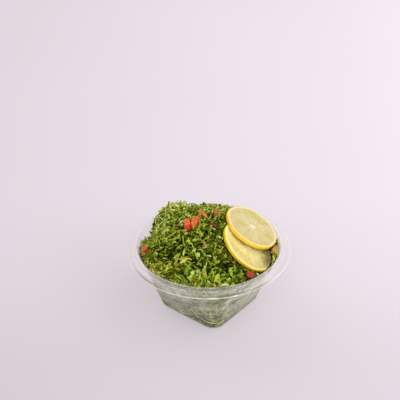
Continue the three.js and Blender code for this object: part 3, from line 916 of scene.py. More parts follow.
def strip_points(line, along, width_way, kind, values, rng):
    """Closed ring of points at each step of each strip: its upper face, then its lower."""
    count, steps = line.shape[:2]
    columns = kind["columns"]
    across = np.linspace(-1, 1, columns)
    share = np.linspace(0, 1, steps)
    half = values["width"][:, None] / 2 * outline_share(kind, share)[None, :]
    cut = 1 + kind["ragged"] * rng.uniform(-1, 1, (count, steps, 2))
    edge = np.where(across < 0, cut[..., :1], cut[..., 1:])
    offset = across * half[..., None] * edge
    face = np.cross(along, width_way)
    lift = values["fold"][:, None, None] * np.abs(offset)
    thick = values["thickness"][:, None, None] / 2 * (1 - 0.65 * np.abs(across))
    middle = line[:, :, None] + offset[..., None] * width_way[:, :, None]
    upper = middle + (lift + thick)[..., None] * face[:, :, None]
    lower = middle + (lift - thick)[..., None] * face[:, :, None]
    return np.concatenate([upper, lower[:, :, ::-1]], axis=2)


def strip_faces(count, steps, columns):
    """Faces of strips whose points lie one strip after another."""
    ring = 2 * columns
    base = (np.arange(count) * steps * ring)[:, None, None]
    row = (np.arange(steps - 1) * ring)[None, :, None]
    here = np.arange(ring)[None, None, :]
    after = (here + 1) % ring
    quads = np.stack([
        base + row + here,
        base + row + ring + here,
        base + row + ring + after,
        base + row + after,
    ], -1).reshape(-1, 4)
    caps = []
    for i in range(columns - 1):
        corners = np.array([i, i + 1, ring - 2 - i, ring - 1 - i])
        far = (steps - 1) * ring
        caps.append(np.arange(count)[:, None] * steps * ring + corners[None, :])
        caps.append(np.arange(count)[:, None] * steps * ring + far + corners[None, ::-1])
    return np.concatenate([quads, *caps])


def strip_attributes(kind, shade, warm):
    """Shade and warmth of each strip, and the place across it, for every point."""
    count, steps, columns = len(shade), kind["steps"], kind["columns"]
    across = np.linspace(-1, 1, columns)
    ring = np.concatenate([across, across[::-1]])
    return {
        "shade": np.repeat(shade, steps * 2 * columns),
        "warm": np.repeat(warm, steps * 2 * columns),
        "across": np.tile(ring, count * steps),
    }


HEAP_REACH = 67  # no shred starts farther out than this, unless it is laid along the rim
HIDDEN_INSET = 7  # spots this far in from the edge of a slice are never seen


def heap_spots(rng, count, reach=HEAP_REACH):
    """Points spread evenly over the heap by the golden angle, then shaken."""
    index = np.arange(count) + 0.5
    radius = reach * np.sqrt(index / count) + rng.normal(0, 0.8, count)
    angle = index * GOLDEN_ANGLE + rng.uniform(0, 0.4, count)
    return around_axis(np.clip(radius, 0, reach), angle)


def ring_spots(rng, count, inner, outer, start=0, end=360):
    """Points in a ring of the heap, or in the part of it between two angles in degrees."""
    radius = rng.uniform(inner, outer, count)
    return around_axis(radius, np.radians(rng.uniform(start, end, count)))


def slice_edge_spots(rng, count, near, far):
    """Points of the heap just outside each slice of lemon."""
    spots = []
    for name, (centre, _, matrix) in LEMON_PLACES.items():
        away = LEMON_SLICES[name]["radius"] + rng.uniform(near, far, count)
        local = around_axis(away, rng.uniform(0, 2 * np.pi, count), np.zeros(count))
        spots.append((local @ matrix.T + centre)[:, :2])
    spots = np.concatenate(spots)
    return spots[np.hypot(*spots.T) < HEAP_REACH]


def under_lemon(spots):
    """True where a slice of lemon hides a spot for good."""
    hidden = np.zeros(len(spots), bool)
    for name, (centre, normal, _) in LEMON_PLACES.items():
        flat = spots - centre[:2]
        drop = -(flat @ normal[:2]) / normal[2]
        inside = LEMON_SLICES[name]["radius"] - HIDDEN_INSET
        hidden |= np.hypot(np.hypot(*flat.T), drop) < inside
    return hidden


def in_gap(spots):
    """True in the irregular gaps between tufts, where only the deep shreds lie."""
    return ripple(np.column_stack([spots, np.zeros(len(spots))]), GAP_SIZE, 15) < GAP_BELOW


def on_tips(spots):
    """Points of the heap at the height of the shreds' tips."""
    return np.column_stack([spots, greens_top(spots[:, 0], spots[:, 1])])


def random_tangents(rng, normal):
    guide = rng.normal(size=normal.shape)
    return unit(guide - (guide * normal).sum(-1, keepdims=True) * normal)


def levelled(points, level):
    """Moves each piece up or down until its highest point stands at the level over the heap."""
    flat = points.reshape(len(points), -1, 3)
    over = (flat[..., 2] - greens_top(flat[..., 0], flat[..., 1])).max(1)
    shift = np.zeros_like(points)
    shift[..., 2] = (level - over).reshape((-1,) + (1,) * (points.ndim - 2))
    return points + shift


def laid_strips(rng, kind, spots, level, tries=6):
    """Strips laid over the heap, redrawn shorter and deeper where a topping or the wall is."""
    spots = spots[~under_lemon(spots)]
    kept = []
    for attempt in range(tries):
        values = drawn(rng, kind, len(spots), 0.88**attempt)
        normal = heap_normal(spots[:, 0], spots[:, 1])
        start = on_tips(spots)
        lines = centre_lines(start, random_tangents(rng, normal), normal, kind, values, rng)
        points = strip_points(*lines, kind, values, rng)
        points = levelled(points, rng.uniform(*level, len(spots)) - 0.6 * attempt)
        blocked = is_blocked(points).any(axis=(1, 2))
        kept.append(points[~blocked])
        spots = spots[blocked]
    return np.concatenate(kept)


def picked_strips(rng, kind, picked):
    """Strips at named places: each is its foot, its tip and its width."""
    foot = np.array([item[0] for item in picked], float)
    tip = np.array([item[1] for item in picked], float)
    values = drawn(rng, kind, len(picked))
    values["length"] = np.linalg.norm(tip - foot, axis=1)
    values["width"] = np.array([item[2] for item in picked], float)
    values["pitch"] = np.zeros(len(picked))
    direction = unit(tip - foot)
    guide = np.tile([0.25, -0.7, 0.65], (len(picked), 1))
    normal = unit(guide - (guide * direction).sum(-1, keepdims=True) * direction)
    lines = centre_lines(foot, direction, normal, kind, values, rng, anchor=0)
    return strip_points(*lines, kind, values, rng)


def area_shift(middle, areas):
    """What round areas add at each point: each is its x, y and reach, and its amount."""
    shift = np.zeros(len(middle))
    for x, y, reach, amount in areas:
        far = np.hypot(middle[:, 0] - x, middle[:, 1] - y) / reach
        shift = shift + amount * np.exp(-far * far / 2)
    return shift


NEUTRAL_WARMTH = 0.3
OWN_SHADE = 0.6  # share of its shade that a strip has of its own, apart from where it lies
FRONT_RIM_PAINTED_LIGHT = 0.3


def make_strips(name, points, kind, material, rng, painted_shade=None, warmth=1.0):
    """One piece of strips, whose shades drift over the heap and differ from strip to strip, with
    painted light and shade added in some areas.
    """
    middle = points.reshape(len(points), -1, 3).mean(1)
    drift = 0.58 + 0.3 * ripple(middle, 26, 71)
    shade = OWN_SHADE * rng.uniform(0, 1, len(points)) + (1 - OWN_SHADE) * drift
    shade = np.clip(shade, 0, 1) + area_shift(middle, TONE_AND_PAINTED_LIGHT_AREAS)
    # Painted light: greens at the front of the rim are lighter, where the wall shades them.
    painted_light_at_front_rim = smoothstep(61, 66, np.hypot(middle[:, 0], middle[:, 1])) * (middle[:, 1] < 0)
    painted_light_at_front_rim = painted_light_at_front_rim * smoothstep(30, 14, middle[:, 0])
    shade = np.clip(shade + FRONT_RIM_PAINTED_LIGHT * painted_light_at_front_rim, 0, 1)
    warm = 0.06 + 0.22 * ripple(middle, 15, 72) + 0.18 * rng.normal(size=len(points))
    warm = NEUTRAL_WARMTH + warmth * (warm + area_shift(middle, WARM_AREAS))
    if painted_shade is not None:
        shade = shade * painted_shade(middle)
    write_piece(
        name, points.reshape(-1, 3), strip_faces(len(points), kind["steps"], kind["columns"]), [],
        material, ["salad"], strip_attributes(kind, shade, np.clip(warm, 0, 1)))


# ---- sprigs ----

SPRIG_LEAFLETS = 7
SPRIG_STEM = {**STEM, "length": (7, 12), "width": (0.6, 0.9), "thickness": (0.4, 0.6)}
SPRIG_REACH = 66
SPRIG_TRIES = 4


def laid_sprigs(rng, count, level):
    """Leaflets of little sprigs, on both sides of a stem and at its tip. The stem isn't made."""
    spots = heap_spots(rng, count, SPRIG_REACH)
    spots = spots[~under_lemon(spots)]
    kept = []
    for attempt in range(SPRIG_TRIES):
        number = len(spots)
        stem = drawn(rng, SPRIG_STEM, number, 0.85**attempt)
        normal = heap_normal(spots[:, 0], spots[:, 1])
        start = on_tips(spots)
        way = random_tangents(rng, normal)
        line, along, width_way = centre_lines(start, way, normal, SPRIG_STEM, stem, rng)
        leaflets = []
        for i in range(SPRIG_LEAFLETS):
            share = 0.25 + 0.75 * i / (SPRIG_LEAFLETS - 1)
            step = int(round(share * (SPRIG_STEM["steps"] - 1)))
            side = 0 if i == SPRIG_LEAFLETS - 1 else (-1) ** i
            turn = side * rng.uniform(0.6, 1.1, (number, 1))
            out = np.cos(turn) * along[:, step] + np.sin(turn) * width_way[:, step]
            face = unit(np.cross(along[:, step], width_way[:, step]))
            values = drawn(rng, LEAFLET, number, 0.9**attempt * (1.15 - 0.5 * share))
            lines = centre_lines(line[:, step], out, face, LEAFLET, values, rng, anchor=0)
            leaflets.append(strip_points(*lines, LEAFLET, values, rng))
        points = np.stack(leaflets, axis=1).reshape(number, -1, 3)
        points = levelled(points, rng.uniform(*level, number) - 0.8 * attempt)
        blocked = is_blocked(points).any(axis=1)
        kept.append(points[~blocked])
        spots = spots[blocked]
    points = np.concatenate(kept)
    return points.reshape(-1, LEAFLET["steps"], 2 * LEAFLET["columns"], 3)


# ---- greens that the photo picks out: foot, tip and width ----

PICKED_LEAVES = [
    ((-40.8, 38.6, 86.5), (-40.0, 38.2, 96.4), 2.6),  # tip at the back left
    ((-42.5, 35.0, 86.0), (-46.0, 32.0, 92.0), 2.4),
    ((-37.0, 36.0, 87.5), (-34.5, 37.0, 93.6), 2.8),
    ((-60.5, 1.0, 73.0), (-63.4, 0.2, 79.2), 1.8),  # spike over the left rim
    ((-56.0, 6.0, 78.0), (-58.6, 5.0, 83.0), 2.2),
]
PICKED_PALE_LEAVES = [
    ((9.0, -58.0, 76.6), (4.5, -66.6, 71.8), 4.6),  # broad leaves along the front
    ((-20.5, -51.0, 79.6), (-23.0, -60.0, 74.8), 4.0),
    ((-14.0, -55.0, 78.2), (-19.5, -62.8, 73.6), 3.4),
    ((-37.0, -43.0, 78.6), (-41.0, -50.4, 73.8), 3.6),
    ((-5.5, -54.0, 79.6), (-3.2, -63.0, 74.2), 4.0),
    ((18.5, -53.0, 79.4), (21.6, -61.6, 73.0), 3.2),
    ((-27.0, -38.0, 85.4), (-34.0, -42.0, 82.2), 3.2),
    ((-21.0, -44.0, 83.6), (-28.0, -47.5, 80.8), 3.0),
    ((-32.0, 35.5, 91.5), (-39.0, 38.0, 91.0), 3.4),
]
PICKED_STEMS = [
    ((-47.0, -13.2, 84.4), (-29.5, -10.7, 93.0), 1.5),
    ((-24.5, -19.3, 93.2), (-22.6, -33.4, 89.4), 1.5),
    ((-10.0, -14.0, 96.2), (-5.0, -25.0, 94.6), 1.2),
    ((-52.0, 3.0, 82.0), (-43.0, 14.0, 89.0), 1.2),
    ((-2.0, -50.0, 84.0), (-4.5, -60.0, 77.5), 1.2),
]

# ---- salad pressed against the wall and the base ----

PRESSED = {
    **SHRED, "length": (6, 15), "width": (1.2, 3.2), "thickness": (0.5, 0.7),
    **dict.fromkeys(("arch", "pitch", "roll", "twist", "fold", "wave"), (0, 0)),
}
PRESSED_LEAF = {**PRESSED, "length": (6, 11), "width": (4, 8), "outline": "leaf", "steps": 10}
PRESSED_HALF = 0.35  # half of the greatest thickness


def flat_strips(rng, kind, count):
    """Strips in a plane: along X and Y about zero, with their thickness along Z."""
    values = drawn(rng, kind, count)
    direction = around_axis(1, rng.uniform(0, 2 * np.pi, count), np.zeros(count))
    normal = np.tile([0.0, 0.0, 1.0], (count, 1))
    lines = centre_lines(np.zeros((count, 3)), direction, normal, kind, values, rng)
    return strip_points(*lines, kind, values, rng)


def on_wall(rng, points):
    """Bends flat pieces onto the inside of the wall, at random places."""
    count = len(points)
    angle = rng.uniform(0, 2 * np.pi, count)
    height = WALL_TOP * rng.uniform(0.03, 1.05, count) ** 0.9
    flat = points.reshape(count, -1, 3)
    angles = angle[:, None] + flat[..., 0] / inside_radius(height, angle)[:, None]
    heights = height[:, None] + flat[..., 1]
    into = rng.uniform(0.06, 0.32, (count, 1)) + CONTACT
    far = inside_radius(heights, angles) + into - PRESSED_HALF + flat[..., 2]
    placed = around_axis(far, angles, heights)
    over = heights > core_top(placed[..., 0], placed[..., 1]) + 2.4
    good = ~over.any(1) & (heights > SHEET + 1.2).all(1) & (heights < WALL_TOP + 1).all(1)
    return placed[good].reshape((-1,) + points.shape[1:])


def on_base(rng, points):
    """Lays flat pieces on the inside of the base, at random places."""
    count = len(points)
    turn = rng.uniform(0, 2 * np.pi, count)
    radius = BASE_REACH * np.sqrt(rng.uniform(0, 1, count))
    flat = points.reshape(count, -1, 3).copy()
    flat[..., :2] += around_axis(radius, turn)[:, None]
    into = rng.uniform(0.02, 0.3, (count, 1)) + CONTACT
    flat[..., 2] = SHEET - into + PRESSED_HALF + flat[..., 2]
    far = np.hypot(flat[..., 0], flat[..., 1])
    widest = np.full_like(far, BASE_REACH - HEEL_RADIUS)
    limit = blended(widest, 0, np.arctan2(flat[..., 1], flat[..., 0]))
    return flat[(far < limit).all(1)].reshape((-1,) + points.shape[1:])


def make_pressed(name, kind, count, base_count, material, seed):
    rng = np.random.default_rng(seed)
    wall = on_wall(rng, flat_strips(rng, kind, count))
    base = on_base(rng, flat_strips(rng, kind, base_count))
    # Painted shade: pressed greens are darker towards the base.
    make_strips(
        name, np.concatenate([wall, base]), kind, material, rng,
        painted_shade=lambda middle: 0.45 + 0.55 * smoothstep(6, 22, middle[:, 2]))


# ---- small bits ----

def pebble():
    """Points and triangles of a unit ball with 42 points."""
    ball = bpy.data.meshes.new("pebble")
    made = bmesh.new()
    bmesh.ops.create_icosphere(made, subdivisions=2, radius=1)
    made.to_mesh(ball)
    made.free()
    points = np.array([v.co for v in ball.vertices])
    triangles = np.array([p.vertices for p in ball.polygons])
    bpy.data.meshes.remove(ball)
    return points, triangles


def random_turns(rng, count):
    """Random rotation matrices."""
    x = unit(rng.normal(size=(count, 3)))
    y = rng.normal(size=(count, 3))
    y = unit(y - (y * x).sum(-1, keepdims=True) * x)
    return np.stack([x, y, np.cross(x, y)], -1)


def blocky(points, power):
    """Pushes a ball's points towards a rounded cube; the higher the power, the sharper."""
    scale = (np.abs(points) ** power).sum(-1, keepdims=True) ** (-1 / power)
    return points * scale


def bits(rng, count, size, power, uneven=0.12):
    """Rounded bits of random size and turn, about zero."""
    points, triangles = pebble()
    body = blocky(points, power)[None] * (1 + uneven * rng.uniform(-1, 1, (count, len(points), 1)))
    sizes = np.column_stack([rng.uniform(*span, count) for span in size]) / 2
    body = body * sizes[:, None]
    return np.einsum("nij,npj->npi", random_turns(rng, count), body), triangles


PICKED_RISE = 1.3  # how much higher the bits lie that the photo picks out
WALL_FLATTENING = 0.3  # bits against the wall are pressed to this share


def make_bits(name, material, scattered, picked, on_walls, size, power, level, seed, slot):
    """Scattered and picked bits on the heap, and the given number of them against the wall."""
    rng = np.random.default_rng(seed)
    spots = np.concatenate([np.reshape(scattered, (-1, 2)), np.reshape(picked, (-1, 2))])
    raised = np.repeat([0.0, PICKED_RISE], [len(scattered), len(picked)])
    shown = ~under_lemon(spots)
    spots, raised = spots[shown], raised[shown]
    body, triangles = bits(rng, len(spots), size, power)
    start = on_tips(spots)
    placed = levelled(body + start[:, None], rng.uniform(*level, len(spots)) + raised)
    placed = placed[~is_blocked(placed).any(1)]
    if on_walls:
        extra, _ = bits(rng, on_walls, size, power)
        extra[..., 2] *= WALL_FLATTENING
        placed = np.concatenate([placed, on_wall(rng, extra)])
    number = len(placed)
    offsets = (np.arange(number) * body.shape[1])[:, None, None]
    faces = (triangles[None] + offsets).reshape(-1, 3)
    shade = np.repeat(rng.uniform(0, 1, number), body.shape[1])
    write_piece(
        name, placed.reshape(-1, 3), [], faces, material, ["salad"], {"shade": shade})


# ---- lemon ----

LEMON_SEGMENTS = 240
LEMON_EDGE = 0.8  # rounding between the faces and the side
LEMON_ZEST = 0.75  # width of the zest on the faces
LEMON_PITH = 2.3
MEMBRANE = 0.45  # how far the membranes differ from the flesh
LEMON_SUNK = 0.35
LEMON_SPOKES = 10
LEMON_FULLNESS = 1.012  # the cut slice against the CAD disc
LEMON_ROUGH = 0.06  # relief of the grain and of the zest


def shaded_share(points):
    """How much light the upper slice and the wall take from points of the lower slice, which the
    lemon's colour makes up for with painted light.
    """
    centre, normal, _ = LEMON_PLACES["lemon_slice_upper"]
    local = points - centre
    height = local @ normal
    across = np.linalg.norm(local - height[:, None] * normal, axis=1)
    beyond = across - LEMON_SLICES["lemon_slice_upper"]["radius"]
    share = 0.28 + 0.6 * smoothstep(12, -1, beyond) + 0.5 * smoothstep(48, 62, points[:, 0])
    return np.minimum(share, 1) * (height < -LEMON_THICKNESS - 0.1)


def make_lemon(name, seed, material):
    """A slice with raised pith and membranes round sunken, finely grained flesh."""
    slice_ = LEMON_SLICES[name]
    rng = np.random.default_rng(seed)
    angle = np.arange(LEMON_SEGMENTS) / LEMON_SEGMENTS * 2 * np.pi
    oval = 0.016 * np.cos(2 * (angle - math.radians(slice_["longest"])))
    outline = slice_["radius"] * LEMON_FULLNESS * (1 + oval + 0.006 * np.sin(5 * angle))
    spokes = (np.arange(LEMON_SPOKES) + rng.uniform(-0.22, 0.22, LEMON_SPOKES))
    spokes = spokes * 2 * np.pi / LEMON_SPOKES
    middle = rng.uniform(-0.8, 0.8, 2)

    def face(radius):
        """How far down the face lies at a radius, and how much of it is flesh."""
        x, y = radius * np.cos(angle), radius * np.sin(angle)
        dx, dy = x - middle[0], y - middle[1]
        away = np.hypot(dx, dy)
        own = np.arctan2(dy, dx)
        apart = np.abs((own[:, None] - spokes + np.pi) % (2 * np.pi) - np.pi)
        wall = (away[:, None] * np.sin(np.minimum(apart, np.pi / 2))).min(1) - 0.3
        long_way = own - math.radians(slice_["longest"])
        core = away - 2.1 - 1.3 * np.cos(long_way) ** 2
        rim = outline - LEMON_PITH - radius
        near = -np.log(np.exp(-2.2 * rim) + np.exp(-2.2 * core)) / 2.2
        pulp = smoothstep(-0.15, 0.5, near)
        fade = 0.4 + 0.6 * smoothstep(17, 4, away)
        pulp = pulp * (1 - MEMBRANE * fade * (1 - smoothstep(-0.1, 0.45, wall)))
        relief = ripple(around_axis(22, own, away * 0.35), 2.6, seed)
        grain = LEMON_ROUGH * smoothstep(2, 9, away) * relief
        down = LEMON_SUNK * smoothstep(-0.2, 0.6, rim) * (0.35 + 0.65 * pulp) - grain * pulp
        return down, pulp

    rows = []

    def add(radius, height, pulp=0, zest=1):
        rows.append([np.broadcast_to(v, LEMON_SEGMENTS) for v in (radius, height, pulp, zest)])

    def add_face(share, level, depth):
        """One ring of a face that lies at a level, with its relief turned and scaled by depth."""
        radius = (outline - LEMON_EDGE) * share
        down, pulp = face(radius)
        zest = smoothstep(LEMON_ZEST + 0.7, LEMON_ZEST - 0.5, outline - radius)
        add(radius, level + depth * down, pulp, zest)

    bottom = -LEMON_THICKNESS
    inner = np.linspace(0.02, 1, 36)
    quarter = np.linspace(0, np.pi / 2, 5)[1:]
    for share in inner:
        add_face(share, bottom, 0.8)
    for turn in quarter:
        out = LEMON_EDGE * (1 - np.sin(turn))
        add(outline - out, bottom + LEMON_EDGE * (1 - np.cos(turn)))
    for height in np.linspace(bottom + LEMON_EDGE, -LEMON_EDGE, 6)[1:]:
        dimple = LEMON_ROUGH * ripple(around_axis(40, angle, angle * 0 + height), 2.5, seed + 1)
        add(outline + dimple - 0.05, height)
    for turn in quarter:
        out = LEMON_EDGE * (1 - np.cos(turn))
        add(outline - out, -LEMON_EDGE * (1 - np.sin(turn)))
    for share in inner[::-1][1:]:
        add_face(share, 0, -1)
    radius, height, pulp, zest = np.array(rows).transpose(1, 0, 2)
    local = turned_points(radius, height, angle, bottom + LEMON_SUNK * 0.3, -LEMON_SUNK * 0.3)
    quads, triangles = turned_faces(len(rows), LEMON_SEGMENTS)
    centre, _, matrix = LEMON_PLACES[name]
    around = np.arctan2(local[:, 1], local[:, 0])
    away = np.hypot(local[:, 0], local[:, 1])
    placed = local @ matrix.T + centre
    write_piece(
        name + "_cut", placed, quads, triangles, material, [name], {
            "shaded": shaded_share(placed),
            "pulp": with_ends(pulp),
            "zest": with_ends(zest),
            "streak": around_axis(14, around, away * 0.22),
        })


# ---- tomato and onion dice ----

def box_grid(cells):
    """Points and quads of a closed cube from -1 to 1 with a grid on each face."""
    made = bmesh.new()
    bmesh.ops.create_cube(made, size=2)
    bmesh.ops.subdivide_edges(made, edges=made.edges[:], cuts=cells - 1, use_grid_fill=True)
    mesh = bpy.data.meshes.new("grid")
    made.to_mesh(mesh)
    made.free()
    points = np.array([v.co for v in mesh.vertices])
    quads = np.array([p.vertices for p in mesh.polygons])
    bpy.data.meshes.remove(mesh)
    return points, quads


def make_die(name, seed, material, slot, skin_way, dent, swell):
    """A die cut by hand: soft corners, an uneven surface, skin on the side that skin_way names."""
    size = np.array(DICE[name][2])
    points, quads = box_grid(14)
    round_points = blocky(points, DICE_ROUNDING)
    rng = np.random.default_rng(seed)
    relief = 1 + 0.08 * ripple(round_points * size / 2, 6, seed)
    relief += 0.07 * ripple(round_points * size / 2, 2.2, seed + 1)
    # The knife's cuts are neither square nor parallel.
    skew = rng.uniform(-0.14, 0.14, (3, 3)) * (1 - np.eye(3))
    cut = round_points + round_points @ skew
    cut[:, :2] *= 1 - 0.1 * cut[:, 2:] * rng.uniform(-1, 1, 2)
    local = cut * relief[:, None] * size / 2 * swell
    on_skin = smoothstep(0.75, 0.95, round_points @ np.array(skin_way, float))
    top = smoothstep(0.4, 0.9, round_points[:, 2]) * (1 - on_skin)
    hollow = smoothstep(0.85, 0.2, np.hypot(round_points[:, 0], round_points[:, 1]))
    local[:, 2] -= dent * top * hollow
    centre, matrix = DICE_PLACES[name]
    write_piece(
        name + "_cut", local @ matrix.T + centre, quads, [], material, [name],
        {"skin": on_skin})


# ---- stage ----

CAMERA_DISTANCE = 1000.0  # from the middle of the rim
CAMERA_ELEVATION = math.radians(35.34)
CAMERA_PITCH = math.radians(32.92)
CAMERA_YAW = math.radians(-0.556)
CAMERA_ROLL = math.radians(-1.09)
CAMERA_PLACE = np.array([
    0,
    -CAMERA_DISTANCE * math.cos(CAMERA_ELEVATION),
    CAMERA_DISTANCE * math.sin(CAMERA_ELEVATION) + RIM_HEIGHT,
])
FOCAL_PIXELS = 1020.6
IMAGE_PIXELS = 400
SENSOR_WIDTH = 36.0


def make_camera():
    data = bpy.data.cameras.new("camera")
    data.sensor_width = SENSOR_WIDTH
    data.lens = FOCAL_PIXELS / IMAGE_PIXELS * SENSOR_WIDTH
    data.clip_start = 0.05
    data.clip_end = 20
    camera = add_object("camera", data)
    ahead = Vector((
        math.sin(CAMERA_YAW) * math.cos(CAMERA_PITCH),
        math.cos(CAMERA_YAW) * math.cos(CAMERA_PITCH),
        -math.sin(CAMERA_PITCH),
    ))
    level = Vector((math.cos(CAMERA_YAW), -math.sin(CAMERA_YAW), 0))
    upright = level.cross(ahead)
    right = level * math.cos(CAMERA_ROLL) + upright * math.sin(CAMERA_ROLL)
    up = upright * math.cos(CAMERA_ROLL) - level * math.sin(CAMERA_ROLL)
    turn = Matrix((right, up, -ahead)).transposed().to_4x4()
    camera.matrix_world = Matrix.Translation(Vector(CAMERA_PLACE) * MM) @ turn
    bpy.context.scene.camera = camera


# Painted light on the floor: how bright its colour and glow are, from front to back and from left to
# right: place in metres and share.
FLOOR_DEEP = [(-0.2, 0.79), (-0.1, 0.82), (0.03, 0.91), (0.19, 0.967), (0.7, 0.997)]
FLOOR_WIDE = [(-0.3, 0.9), (-0.2, 0.935), (0.0, 1.0), (0.2, 1.06), (0.3, 1.11)]


def falloff(tree, coordinate, stops):
    """Smooth share of light along one coordinate, from (place, share) stops."""
    first, last = stops[0][0], stops[-1][0]
    share = math_node(tree, "SUBTRACT", coordinate, first)
    share = math_node(tree, "DIVIDE", share, last - first, clamp=True)
    return ramp(tree, share, [((at - first) / (last - first), (v, v, v, 1)) for at, v in stops])


FLOOR_HALF_SIDE = 4.0  # in metres
# The floor glows, as painted light that lightens the shadows on it.
FLOOR_GLOW = 0.53


def make_floor():
    material, tree = new_material("floor")
    place = add_node(tree, "SeparateXYZ", {0: object_place(tree)})
    deep = falloff(tree, place.outputs["Y"], FLOOR_DEEP)
    wide = falloff(tree, place.outputs["X"], FLOOR_WIDE)
    light = multiplied(tree, deep, wide)
    mottle = mottled(tree, 400.0, [(166, 159, 165), (169, 162, 168)], detail=1.0)
    glow = add_node(tree, "RGB")
    glow.outputs[0].default_value = srgb(232, 223, 231)
    show(tree, add_node(tree, "BsdfPrincipled", {
        "Base Color": multiplied(tree, mottle, light),
        "Roughness": 0.75,
        "Specular IOR Level": 0.2,
        "Emission Color": multiplied(tree, glow.outputs[0], light),
        "Emission Strength": FLOOR_GLOW,
    }))
    mesh = bpy.data.meshes.new("floor")
    side = FLOOR_HALF_SIDE
    corners = [(-side, -side, 0), (side, -side, 0), (side, side, 0), (-side, side, 0)]
    mesh.from_pydata(corners, [], [(0, 1, 2, 3)])
    mesh.materials.append(material)
    floor = add_object("floor", mesh)


# Soft lights: place, target, width and height in metres, and watts.
LIGHTS = {
    "key": ((1.4, 0.1, 1.6), (0, 0, 0.05), (1.7, 1.7), 12.5),
    "right": ((1.3, -1.0, 0.8), (0.04, 0, 0.08), (1.2, 0.9), 12),
    "side": ((-1.1, 0.9, 1.2), (0, 0, 0.05), (1.3, 1.3), 6),
    "front": ((-0.3, -1.4, 1.5), (0, 0, 0.05), (1.6, 1.2), 9),
    "low": ((-0.6, -1.5, 0.45), (0, 0, 0.07), (1.2, 0.6), 3),
}
WORLD_COLOUR = (1, 0.965, 0.995, 1)
WORLD_STRENGTH = 0.6


def make_softbox(name, place, target, size, power):
    data = bpy.data.lights.new(name, "AREA")
    data.shape = "RECTANGLE"
    data.size, data.size_y = size
    data.energy = power
    light = add_object(name, data)
    light.location = place
    light.rotation_euler = (Vector(target) - Vector(place)).to_track_quat("-Z", "Y").to_euler()


def make_world():
    world = bpy.data.worlds.new("studio")
    bpy.context.scene.world = world
    world.use_nodes = True
    tree = world.node_tree
    tree.nodes.clear()
    background = add_node(
        tree, "Background", {"Color": WORLD_COLOUR, "Strength": WORLD_STRENGTH})
    output = add_node(tree, "OutputWorld")
    tree.links.new(background.outputs[0], output.inputs["Surface"])


def make_stage():
    bpy.context.scene.view_settings.view_transform = "Standard"
    make_camera()
    make_floor()
    make_world()
    for name, look in LIGHTS.items():
        make_softbox(name, *look)


# ---- the serving ----

# Parts of the heap where more greens lie: inner and outer radius, and from which angle to which.
WHOLE_RIM = (60, 68)
LEFT_RIM = (58, 68, 130, 298)
LEFT_HOLLOW = (48, 66, 148, 172)
BACK_LEFT = (42, 65, 118, 195)
FRONT_LIP = (65, 70, 205, 296)
PALE_FRONT_LIP = (64, 70, 205, 290)
LEMON_RIM = (62, 69, -42, 20)


def make_greens():
    """All greens on the heap. Each is its kind, how many, where, and the range of its level."""
    # Painted shade: the deep shreds are darker than parsley, for the shade deep in the heap.
    dark = greens_material(
        "parsley_dark_and_painted_shade", [(14, 20, 0), (32, 42, 0), (60, 72, 0)], translucent=0.1, specular=0.03)
    mid = greens_material("parsley_mid", [(48, 67, 0), (98, 118, 0), (160, 174, 14)])
    light = greens_material(
        "parsley_light", [(144, 164, 16), (198, 212, 68), (242, 247, 162)], specular=0.22)
    rng = np.random.default_rng(11)

    def scattered(kind, count, level, reach=HEAP_REACH):
        spots = heap_spots(rng, count, reach)
        return laid_strips(rng, kind, spots[~in_gap(spots)], level)

    def in_part(kind, count, part, level):
        return laid_strips(rng, kind, ring_spots(rng, count, *part), level)

    def make(name, kind, material, layers, warmth=1.0):
        make_strips(name, np.concatenate(layers), kind, material, rng, warmth=warmth)

    make("parsley_shreds_deep", SHRED, dark, [
        laid_strips(rng, SHRED, heap_spots(rng, 1150), (-5.4, -2.6)),
    ])
    extra = [
        laid_strips(rng, SHRED, slice_edge_spots(rng, 200, 1.5, 8), (-3.0, -0.4)),
        in_part(SHRED, 190, LEFT_RIM, (-0.4, 2.6)),
        in_part(SHRED, 90, LEFT_HOLLOW, (-3.2, 0.4)),
        in_part(TUFT, 80, FRONT_LIP, (1.2, 3.6)),
        in_part(TUFT, 170, LEMON_RIM, (-2.0, 1.6)),
    ]
    close = laid_strips(rng, CRUMB, slice_edge_spots(rng, 330, 0.4, 9), (-2.4, -0.2), tries=9)
    layers = [scattered(SHRED, 1000, (-3.2, 0.7)), *extra, close]
    make("parsley_shreds_mid", SHRED, mid, layers)
    extra = [
        laid_strips(rng, TUFT, heap_spots(rng, 200, 66), (0.0, 2.2)),
        in_part(SHRED, 120, LEFT_RIM, (0.2, 3.0)),
        in_part(WISP, 290, BACK_LEFT, (0.8, 5.6)),
        in_part(TUFT, 120, PALE_FRONT_LIP, (1.0, 3.4)),
        in_part(TUFT, 150, LEMON_RIM, (-1.0, 2.0)),
    ]
    layers = [scattered(SHRED, 560, (-1.6, 1.6)), *extra]
    make("parsley_shreds_light", SHRED, light, layers, 0.5)
    at_rim = in_part(LEAF, 50, WHOLE_RIM, (0.0, 2.4))
    make("parsley_leaves", LEAF, mid, [
        scattered(LEAF, 210, (-2.4, 0.6), 66), at_rim, picked_strips(rng, LEAF, PICKED_LEAVES),
    ])
    make("parsley_leaves_pale", LEAF, light, [
        scattered(LEAF, 70, (-1.4, 0.7)), picked_strips(rng, LEAF, PICKED_PALE_LEAVES),
    ], 0.5)
    make("parsley_stems", STEM, light, [
        scattered(STEM, 80, (-1.2, 0.8)), picked_strips(rng, STEM, PICKED_STEMS),
    ], 0.3)
    make("parsley_sprigs", LEAFLET, mid, [laid_sprigs(rng, 260, (-1.6, 1.8))])


